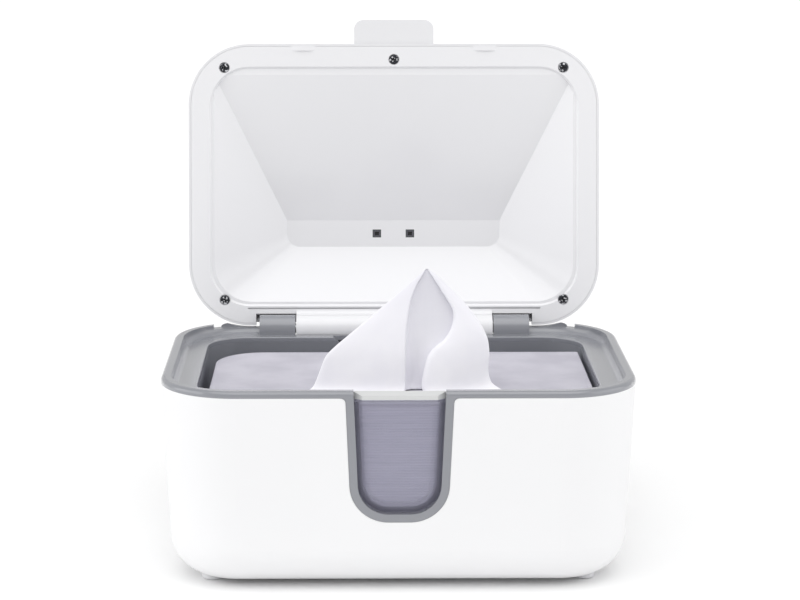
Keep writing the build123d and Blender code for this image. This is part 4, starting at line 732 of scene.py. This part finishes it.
def smooth_between(keys: Sequence[Sequence[float]], at: float) -> list[float]:
    """Read a row of values at one height from keyed rows, along smooth curves through them.

    Args:
        keys: Rows whose first number is the height, rising.
        at: Height to read.

    Returns:
        The values without the height.
    """
    heights = [k[0] for k in keys]
    at = min(max(at, heights[0]), heights[-1])
    i = max(j for j in range(len(keys) - 1) if heights[j] <= at + 1e-9)
    h0, h1 = heights[i], heights[i + 1]
    t = (at - h0) / (h1 - h0)
    row = []
    for c in range(1, len(keys[0])):
        p1, p2 = keys[i][c], keys[i + 1][c]
        m1 = (p2 - keys[i - 1][c]) / (h1 - heights[i - 1]) if i > 0 else (p2 - p1) / (h1 - h0)
        m2 = (keys[i + 2][c] - p1) / (heights[i + 2] - h0) if i + 2 < len(keys) else (p2 - p1) / (h1 - h0)
        m1, m2 = m1 * (h1 - h0), m2 * (h1 - h0)
        t2, t3 = t * t, t * t * t
        row.append(
            (2 * t3 - 3 * t2 + 1) * p1 + (t3 - 2 * t2 + t) * m1 + (3 * t2 - 2 * t3) * p2 + (t3 - t2) * m2
        )
    return row


def curve_through(points: Sequence[tuple[float, float]], steps: int) -> list[tuple[float, float]]:
    """Smooth open curve through points in plan, without its last point.

    Args:
        points: Points that the curve passes.
        steps: Number of pieces between two points.

    Returns:
        The points along the curve.
    """
    ends = [points[0], *points, points[-1]]
    line = []
    for i in range(1, len(ends) - 2):
        p0, p1, p2, p3 = (Vector(p) for p in ends[i - 1 : i + 3])
        for s in range(steps):
            t = s / steps
            spot = 0.5 * (
                2 * p1 + (p2 - p0) * t + (2 * p0 - 5 * p1 + 4 * p2 - p3) * t * t
                + (3 * p1 - p0 - 3 * p2 + p3) * t**3
            )
            line.append((spot.x, spot.y))
    return line


# --- Sub-assemblies ------------------------------------------------------------------------------
@dataclass
class CadFinishes:
    """Gives every CAD node that stays its finish."""

    finishes: Finishes

    def dress(self) -> None:
        """Put each node's finish in its material slots."""
        for name, finish in FINISH_OF_NODE.items():
            self.finishes.dress(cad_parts[name], finish)
        log.info("dressed %d CAD nodes", len(FINISH_OF_NODE))


@dataclass
class WipeStack:
    """Folded wipes in the tank: thin layers with softly rounded upright corners."""

    finishes: Finishes
    corner: float = 20.0
    rear_corner: float = 25.0
    tight_corner: float = 0.8
    edge_round: float = 1.6
    layer: float = 1.3
    left: float = field(init=False)
    right: float = field(init=False)
    front: float = field(init=False)
    rear: float = field(init=False)
    low: float = field(init=False)
    top: float = field(init=False)

    def __post_init__(self) -> None:
        """Read the stack's place from the CAD node, in millimetres."""
        low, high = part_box("wipe_stack")
        self.left, self.front, self.low = (c / MM for c in low)
        self.right, self.rear, self.top = (c / MM for c in high)

    def outline(self, inset: float) -> list[tuple[float, float]]:
        """Rounded outline of the stack, drawn in by so many millimetres."""
        spots = []
        corners = [
            (self.right, self.front, self.corner, -90),
            (self.right, self.rear, self.tight_corner, 0),
            (self.left, self.rear, self.rear_corner, 90),
            (self.left, self.front, self.corner, 180),
        ]
        for x, y, radius, start in corners:
            radius = max(radius, inset + 0.4)
            cx = x - math.copysign(radius, x)
            cy = y + radius if y < 0 else y - radius
            for step in range(15):
                angle = math.radians(start + 90 * step / 14)
                reach = radius - inset
                spots.append((cx + reach * math.cos(angle), cy + reach * math.sin(angle)))
        dense = []
        for i, a in enumerate(spots):
            b = spots[(i + 1) % len(spots)]
            pieces = 36 if i % 15 == 14 else 1
            dense += [
                (a[0] + (b[0] - a[0]) * s / pieces, a[1] + (b[1] - a[1]) * s / pieces) for s in range(pieces)
            ]
        return dense

    def rings(self) -> list[tuple[float, float]]:
        """Inset and height of each ring, from the middle of the foot up and over to the middle of the top."""
        rows = [(40.0, self.low), (12.0, self.low), (1.0, self.low), (0.3, self.low + 0.4)]
        z = self.low + self.layer
        while z < self.top - self.edge_round - 0.5 * self.layer:
            rows += [(0.35, z - 0.3 * self.layer), (0.05, z), (0.05, z + 0.35 * self.layer)]
            z += self.layer
        for step in range(1, 6):
            angle = math.radians(90 * step / 5)
            rows.append(
                (
                    0.1 + self.edge_round * (1 - math.cos(angle)),
                    self.top - self.edge_round + self.edge_round * math.sin(angle),
                )
            )
        rows += [(inset, self.top) for inset in (4.0, 7.0, 11.0, 16.0, 22.0, 29.0, 37.0, 44.0, 50.0)]
        return rows

    def wave(self, x: float, y: float) -> float:
        """How far the top sinks at a spot, in soft swells."""
        swell = noise.noise(Vector((x / 34, y / 26, 3.1))) + 0.5 * noise.noise(Vector((x / 13, y / 11, 7.7)))
        return 0.45 * (swell - 0.9)

    def build(self) -> bpy.types.Object:
        """Model the stack and dress its top and sides."""
        points: list[tuple[float, float, float]] = []
        faces = []
        count = len(self.outline(0.0))
        rows = self.rings()
        for inset, z in rows:
            for x, y in self.outline(min(inset, 50.0)):
                drop = self.wave(x, y) if z >= self.top - 0.01 else 0.0
                wobble = 0.25 * noise.noise(Vector((x / 25, y / 25, z / 1.5))) - 0.25
                pull = 1.0 + (wobble / 60.0 if 0 < inset < 0.5 else 0.0)
                points.append((x * pull, y * pull, z + drop))
        for r in range(len(rows) - 1):
            for c in range(count):
                d = (c + 1) % count
                faces.append((r * count + c, r * count + d, (r + 1) * count + d, (r + 1) * count + c))
        faces.append(tuple(reversed(range(count))))
        faces.append(tuple((len(rows) - 1) * count + c for c in range(count)))
        stack = mesh_object("wipe_stack_layers", points, faces)
        point_outwards(stack)
        stack.data.materials.append(self.finishes.get(Palette.STACK_TOP))
        stack.data.materials.append(self.finishes.get(Palette.STACK_SIDES))
        # Top faces get the stack's top cloth with its painted shade; the sides get the layered cloth.
        for face in stack.data.polygons:
            face.material_index = 0 if face.center.z > (self.top - 0.9) * MM else 1
        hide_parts("wipe_stack")
        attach(stack, "base")
        log.info("wipe stack: %d faces", len(stack.data.polygons))
        return stack


@dataclass
class PulledWipe:
    """Top wipe, drawn up to a peak: flat left lobe, front fold, panel set back, rolled right lobe."""

    finishes: Finishes
    peak: tuple[float, float] = (14.0, -26.0)
    height: float = 57.0
    thickness: float = 0.35
    levels: int = 48
    foot: float = field(init=False)

    # Height above the foot, then along X the left end, the fold, the rolled edge and the right
    # end, and the depth left of the foot's depth.
    KEYS: ClassVar[list[tuple[float, ...]]] = [
        (0.0, -43.2, 3.0, 12.2, 50.4, 1.1),
        (1.2, -41.6, 3.1, 11.6, 47.9, 1.04),
        (3.4, -40.3, 3.2, 11.4, 45.2, 0.99),
        (8.7, -38.2, 3.3, 12.3, 43.7, 0.93),
        (16.2, -35.0, 3.5, 14.2, 44.2, 0.84),
        (20.5, -30.8, 3.6, 17.2, 44.0, 0.78),
        (24.8, -25.6, 3.8, 22.4, 43.2, 0.71),
        (31.0, -18.0, 4.1, 26.2, 40.2, 0.60),
        (38.0, -9.4, 5.2, 26.6, 35.2, 0.46),
        (44.0, -2.2, 6.6, 23.2, 29.8, 0.34),
        (50.0, 5.2, 9.2, 19.2, 23.6, 0.21),
        (54.5, 10.4, 12.0, 16.2, 18.6, 0.11),
        (57.0, 13.6, 13.8, 14.3, 14.8, 0.03),
    ]

    # Columns of the sheet between the fold and the rolled edge, which get the painted fold shade.
    PANEL_START: ClassVar[int] = 32
    PANEL_END: ClassVar[int] = 68

    def __post_init__(self) -> None:
        """Read the height of the wipe's foot from the CAD node, in millimetres."""
        self.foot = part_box("pulled_wipe")[0][2] / MM

    def section(self, height: float) -> list[tuple[float, float]]:
        """Closed outline of the wipe in plan at one height above its foot."""
        left, fold, roll, right, share = smooth_between(self.KEYS, height)
        peak_y = self.peak[1]

        def deep(offset: float) -> float:
            return peak_y + share * offset

        wide = right - roll
        left_lobe = [
            (left, deep(-12.0)),
            (left + 0.04 * (fold - left), deep(-14.2)),
            ((left + fold) / 2 - 0.08 * (fold - left), deep(-16.4)),
            (fold - 0.12 * (fold - left), deep(-17.6)),
            (fold, deep(-18.2)),
        ]
        panel = [
            (fold, deep(-18.2)),
            (fold - 0.4 * share, deep(-17.2)),
            (fold + 0.12 * (roll - fold), deep(-13.4)),
            ((fold + roll) / 2, deep(-11.6)),
            (roll + 0.06 * wide, deep(-12.4)),
            (roll + 0.04 * wide, deep(-14.8)),
            (roll - 0.2 * share, deep(-17.2)),
        ]
        right_lobe = [
            (roll - 0.2 * share, deep(-17.2)),
            (roll + 0.10 * wide, deep(-19.6)),
            (roll + 0.45 * wide, deep(-20.2)),
            (roll + 0.82 * wide, deep(-17.4)),
            (right - 0.01 * wide, deep(-14.2)),
            (right, deep(-12.0)),
        ]
        rear = [
            (right, deep(-12.0)),
            (right - 0.16 * (right - left), deep(3.0)),
            ((left + right) / 2, deep(12.0)),
            (left + 0.16 * (right - left), deep(3.0)),
            (left, deep(-12.0)),
        ]
        return (
            curve_through(left_lobe, 8)
            + curve_through(panel, 6)
            + curve_through(right_lobe, 8)
            + curve_through(rear, 9)
        )

    def crease(self, x: float, y: float, z: float) -> tuple[float, float]:
        """Small soft creases that run down from the peak, as a shift along X and Y."""
        fall = max(0.0, 1.0 - (z - self.foot) / self.height)
        fan = math.atan2(y - self.peak[1], x - self.peak[0] + 0.01)
        broad = noise.noise(Vector((fan * 2.6, z / 38, 1.7)))
        fold = broad + 0.5 * noise.noise(Vector((fan * 6.1, z / 16, 5.2)))
        amount = 0.55 * fall * fold
        return 0.5 * amount, amount

    def build(self) -> bpy.types.Object:
        """Model the sheet, give it its thickness and dress it."""
        points = []
        count = 0
        for level in range(self.levels):
            height = self.height * (level / (self.levels - 1)) ** 1.15
            ring = self.section(height)
            count = len(ring)
            for x, y in ring:
                dx, dy = self.crease(x, y, self.foot + height)
                points.append((x + dx, y + dy, self.foot + height))
        faces = []
        for r in range(self.levels - 1):
            for c in range(count):
                d = (c + 1) % count
                faces.append((r * count + c, r * count + d, (r + 1) * count + d, (r + 1) * count + c))
        points.append((self.peak[0], self.peak[1], self.foot + self.height))
        top = len(points) - 1
        last = (self.levels - 1) * count
        faces += [(last + c, last + (c + 1) % count, top) for c in range(count)]
        wipe = mesh_object("pulled_wipe_sheet", points, faces)
        wipe.data.materials.append(self.finishes.get(Palette.PULLED_CLOTH))
        wipe.data.materials.append(self.finishes.get(Palette.FOLD_CLOTH))
        # Faces of the panel between the fold and the rolled edge get the cloth with painted fold shade.
        for face in wipe.data.polygons:
            column = face.index % count
            face.material_index = 1 if self.PANEL_START <= column < self.PANEL_END else 0
        point_outwards(wipe)
        area = sum(face.area for face in wipe.data.polygons)
        wall = wipe.modifiers.new("cloth_thickness", "SOLIDIFY")
        wall.thickness = self.thickness * MM
        wall.offset = -1.0
        apply_modifiers(wipe)
        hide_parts("pulled_wipe")
        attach(wipe, "base")
        # About a third of a common wipe of 150 x 180 mm stands up out of the stack.
        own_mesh(wipe)
        log.info("pulled wipe: %.0f square mm of cloth", area / MM / MM)
        return wipe


@dataclass
class LidLamps:
    """Two square lamps in the lid's ceiling: dark case with rounded corners, sunk black window."""

    finishes: Finishes
    spacing: float = 18.0
    half_x: float = 2.08
    half_y: float = 1.93
    face_z: float = 121.92
    depth: float = 2.9
    centre_y: float = 25.9
    frame_width: float = 0.9
    window_sunk: float = 0.3

    def model(self, name: str, x: float) -> bpy.types.Object:
        """Model one lamp on the closed lid, facing down.

        Args:
            name: Name of the piece.
            x: Its place across the lid, in millimetres.

        Returns:
            The finished lamp at its open place.
        """
        bpy.ops.object.select_all(action="DESELECT")
        bpy.ops.mesh.primitive_cube_add(
            size=1.0,
            location=(x * MM, self.centre_y * MM, (self.face_z + self.depth / 2) * MM),
            scale=(2 * self.half_x * MM, 2 * self.half_y * MM, self.depth * MM),
        )
        lamp = bpy.context.active_object
        lamp.name = lamp.data.name = name
        settle(lamp)
        case = self.finishes.get(Palette.LAMP_CASE)
        window = self.finishes.get(Palette.LAMP_WINDOW)
        lamp.data.materials.append(case)
        lamp.data.materials.append(window)
        pick(lamp, lambda centre, normal: False)
        for edge in lamp.data.edges:
            ends = [lamp.data.vertices[v].co for v in edge.vertices]
            edge.select = abs(ends[0].z - ends[1].z) > 0.5 * self.depth * MM
        bpy.ops.object.mode_set(mode="EDIT")
        bpy.ops.mesh.select_mode(type="EDGE")
        bpy.ops.mesh.bevel(offset=0.7 * MM, segments=4)
        bpy.ops.object.mode_set(mode="OBJECT")
        pick(lamp, lambda centre, normal: normal.z < -0.9)
        bpy.ops.object.mode_set(mode="EDIT")
        bpy.ops.mesh.inset(thickness=self.frame_width * MM, depth=0.0)
        bpy.ops.mesh.extrude_region_move(TRANSFORM_OT_translate={"value": (0.0, 0.0, self.window_sunk * MM)})
        bpy.ops.object.mode_set(mode="OBJECT")
        low = min(v.co.z for v in lamp.data.vertices)
        for face in lamp.data.polygons:
            inner = face.normal.z < -0.9 and face.center.z > low + 0.1 * MM
            face.material_index = 1 if inner else 0
        bevel = lamp.modifiers.new("soft_edges", "BEVEL")
        bevel.width = 0.12 * MM
        bevel.segments = 2
        bevel.limit_method = "ANGLE"
        apply_modifiers(lamp)
        turn_with_lid(lamp)
        return lamp

    def build(self) -> list[bpy.types.Object]:
        """Model both lamps and hang them on the lid."""
        lamps = []
        for side, name in ((-1, "lamp_left"), (1, "lamp_right")):
            lamp = self.model(f"{name}_case", side * self.spacing / 2)
            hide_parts(name)
            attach(lamp, "lid")
            lamps.append(lamp)
        log.info("lamps: %d", len(lamps))
        return lamps


@dataclass
class LidScrews:
    """Five pan-head screws in the lid's face: rounded rim, slanted cross recess, short shank."""

    finishes: Finishes
    half_x: float = 90.4
    front_y: float = -62.5
    middle_y: float = -66.8
    rear_y: float = 61.3
    face_z: float = 97.9
    radius: float = 2.5
    head: float = 1.1
    shank_radius: float = 1.3
    tip_z: float = 104.8
    rim_round: float = 0.55
    arm: float = 1.5
    slot: float = 0.6
    recess: float = 0.75

    def cutter(self, x: float, y: float) -> bpy.types.Object:
        """Cross with slanted walls that cuts the recess."""
        points = []
        low = self.face_z - 0.3
        for z, arm, half in (
            (low, self.arm + 0.1, self.slot / 2 + 0.05),
            (self.face_z + self.recess, 0.6 * self.arm, 0.3 * self.slot),
        ):
            outline = [
                (arm, -half), (arm, half), (half, half), (half, arm), (-half, arm), (-half, half),
                (-arm, half), (-arm, -half), (-half, -half), (-half, -arm), (half, -arm), (half, -half),
            ]
            points += [(x + px, y + py, z) for px, py in outline]
        faces = [(c, (c + 1) % 12, 12 + (c + 1) % 12, 12 + c) for c in range(12)]
        faces += [tuple(reversed(range(12))), tuple(range(12, 24))]
        cross = mesh_object("cross_cutter", points, faces)
        point_outwards(cross)
        return cross

    def model(self, x: float, y: float) -> bpy.types.Object:
        """Model one screw on the closed lid, head down.

        Args:
            x: Place across the lid, in millimetres.
            y: Place along the lid, in millimetres.

        Returns:
            The screw at its closed place.
        """
        bpy.ops.object.select_all(action="DESELECT")
        bpy.ops.mesh.primitive_cylinder_add(
            vertices=40,
            radius=self.radius * MM,
            depth=self.head * MM,
            location=(x * MM, y * MM, (self.face_z + self.head / 2) * MM),
        )
        screw = bpy.context.active_object
        settle(screw)
        pick(screw, lambda centre, normal: normal.z > 0.9)
        bpy.ops.object.mode_set(mode="EDIT")
        bpy.ops.mesh.inset(thickness=(self.radius - self.shank_radius) * MM, depth=0.0)
        rise = (self.tip_z - self.face_z - self.head) * MM
        bpy.ops.mesh.extrude_region_move(TRANSFORM_OT_translate={"value": (0.0, 0.0, rise)})
        bpy.ops.object.mode_set(mode="OBJECT")
        pick(screw, lambda centre, normal: normal.z < -0.9)
        bpy.ops.object.mode_set(mode="EDIT")
        bpy.ops.mesh.region_to_loop()
        bpy.ops.mesh.bevel(offset=self.rim_round * MM, segments=4)
        bpy.ops.object.mode_set(mode="OBJECT")
        cross = self.cutter(x, y)
        cut = screw.modifiers.new("cross_recess", "BOOLEAN")
        cut.operation = "DIFFERENCE"
        cut.solver = "EXACT"
        cut.object = cross
        apply_modifiers(screw)
        bpy.data.objects.remove(cross)
        screw.data.materials.clear()
        screw.data.materials.append(self.finishes.get(Palette.WORN_STEEL))
        screw.data.materials.append(self.finishes.get(Palette.RECESS_STEEL))
        # Faces sunk in the cross recess get the near-black painted recess shade; the rest of the head gets
        # the painted glints.
        for face in screw.data.polygons:
            reach = math.hypot(face.center.x - x * MM, face.center.y - y * MM)
            sunk = self.face_z + 0.02 < face.center.z / MM < self.face_z + self.recess + 0.05
            face.material_index = 1 if sunk and reach < (self.arm + 0.1) * MM else 0
        return screw

    def build(self) -> bpy.types.Object:
        """Model the five screws as one piece and hang it on the lid."""
        places = [
            (-self.half_x, self.front_y),
            (self.half_x, self.front_y),
            (0.0, self.middle_y),
            (-self.half_x, self.rear_y),
            (self.half_x, self.rear_y),
        ]
        screws = [self.model(x, y) for x, y in places]
        bpy.ops.object.select_all(action="DESELECT")
        for screw in screws:
            screw.select_set(True)
        bpy.context.view_layer.objects.active = screws[0]
        bpy.ops.object.join()
        group = screws[0]
        group.name = group.data.name = "lid_screw_heads"
        settle(group)
        select_only(group)
        bpy.ops.object.shade_smooth_by_angle(angle=math.radians(35.0))
        turn_with_lid(group)
        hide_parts("lid_screws")
        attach(group, "lid")
        log.info("lid screws: %d", len(screws))
        return group


@dataclass
class Studio:
    """Pale floor, soft white surround, broad soft lights from above and both sides, and the camera."""

    camera_place: tuple[float, float, float] = (-0.0211711, -1.1447853, 0.3592083)
    camera_pitch: float = 11.4303
    camera_turn: float = -0.50478
    lens: float = 105.172
    shift_x: float = 0.031514
    surround: float = 0.65
    top_light: float = 1.06
    left_light: float = 1.02
    right_light: float = 0.72

    def floor(self) -> None:
        """Lay the plain floor just under the feet."""
        bpy.ops.object.select_all(action="DESELECT")
        bpy.ops.mesh.primitive_plane_add(size=16.0, location=(0.0, 3.0, -TABLE_GAP * MM))
        floor = bpy.context.active_object
        floor.name = floor.data.name = "floor"
        settle(floor)
        material, tree, surface = new_material("paper_white_matt")
        place = object_coordinates(tree)
        fibre = add_node(
            tree, "ShaderNodeTexNoise", {}, {"Vector": place, "Scale": per_metre(3.0), "Detail": 2.0}
        ).outputs["Fac"]
        tree.links.new(tint(tree, fibre, "#FAFAFA", "#FBFBFB"), surface.inputs["Base Color"])
        surface.inputs["Roughness"].default_value = 0.9
        surface.inputs["Specular IOR Level"].default_value = 0.2
        floor.data.materials.append(material)

    def lights(self) -> None:
        """Set the white surround and the soft light above."""
        world = bpy.data.worlds.new("white_surround")
        world.use_nodes = True
        back = world.node_tree.nodes["Background"]
        back.inputs["Color"].default_value = linear("#FFFFFF")
        back.inputs["Strength"].default_value = self.surround
        bpy.context.scene.world = world
        for name, strength, pitch, turn in (
            ("top_light", self.top_light, 20.0, 0.0),
            ("left_light", self.left_light, 74.0, -78.0),
            ("right_light", self.right_light, 74.0, 78.0),
        ):
            data = bpy.data.lights.new(name, "SUN")
            data.energy = strength
            data.angle = math.radians(60.0)
            lamp = bpy.data.objects.new(name, data)
            lamp.rotation_euler = (math.radians(pitch), 0.0, math.radians(turn))
            bpy.context.scene.collection.objects.link(lamp)

    def camera(self) -> None:
        """Set the camera at the photograph's view."""
        data = bpy.data.cameras.new("photo_view")
        data.sensor_width = 36.0
        data.lens = self.lens
        data.shift_x = self.shift_x
        data.clip_start = 0.05
        data.clip_end = 60.0
        camera = bpy.data.objects.new("photo_view", data)
        camera.location = self.camera_place
        camera.rotation_euler = (math.radians(90 - self.camera_pitch), 0.0, math.radians(self.camera_turn))
        bpy.context.scene.collection.objects.link(camera)
        bpy.context.scene.camera = camera

    def build(self) -> None:
        """Build the whole studio."""
        scene = bpy.context.scene
        scene.view_settings.view_transform = "Standard"
        scene.view_settings.look = "None"
        self.camera()
        self.floor()
        self.lights()
        log.info("studio ready")


def main() -> None:
    """Build everything in order."""
    logging.basicConfig(level=logging.INFO, format="%(name)s: %(message)s")
    Studio().build()
    finishes = Finishes()
    CadFinishes(finishes).dress()
    WipeStack(finishes).build()
    PulledWipe(finishes).build()
    LidLamps(finishes).build()
    LidScrews(finishes).build()


if __name__ == "__main__":
    main()
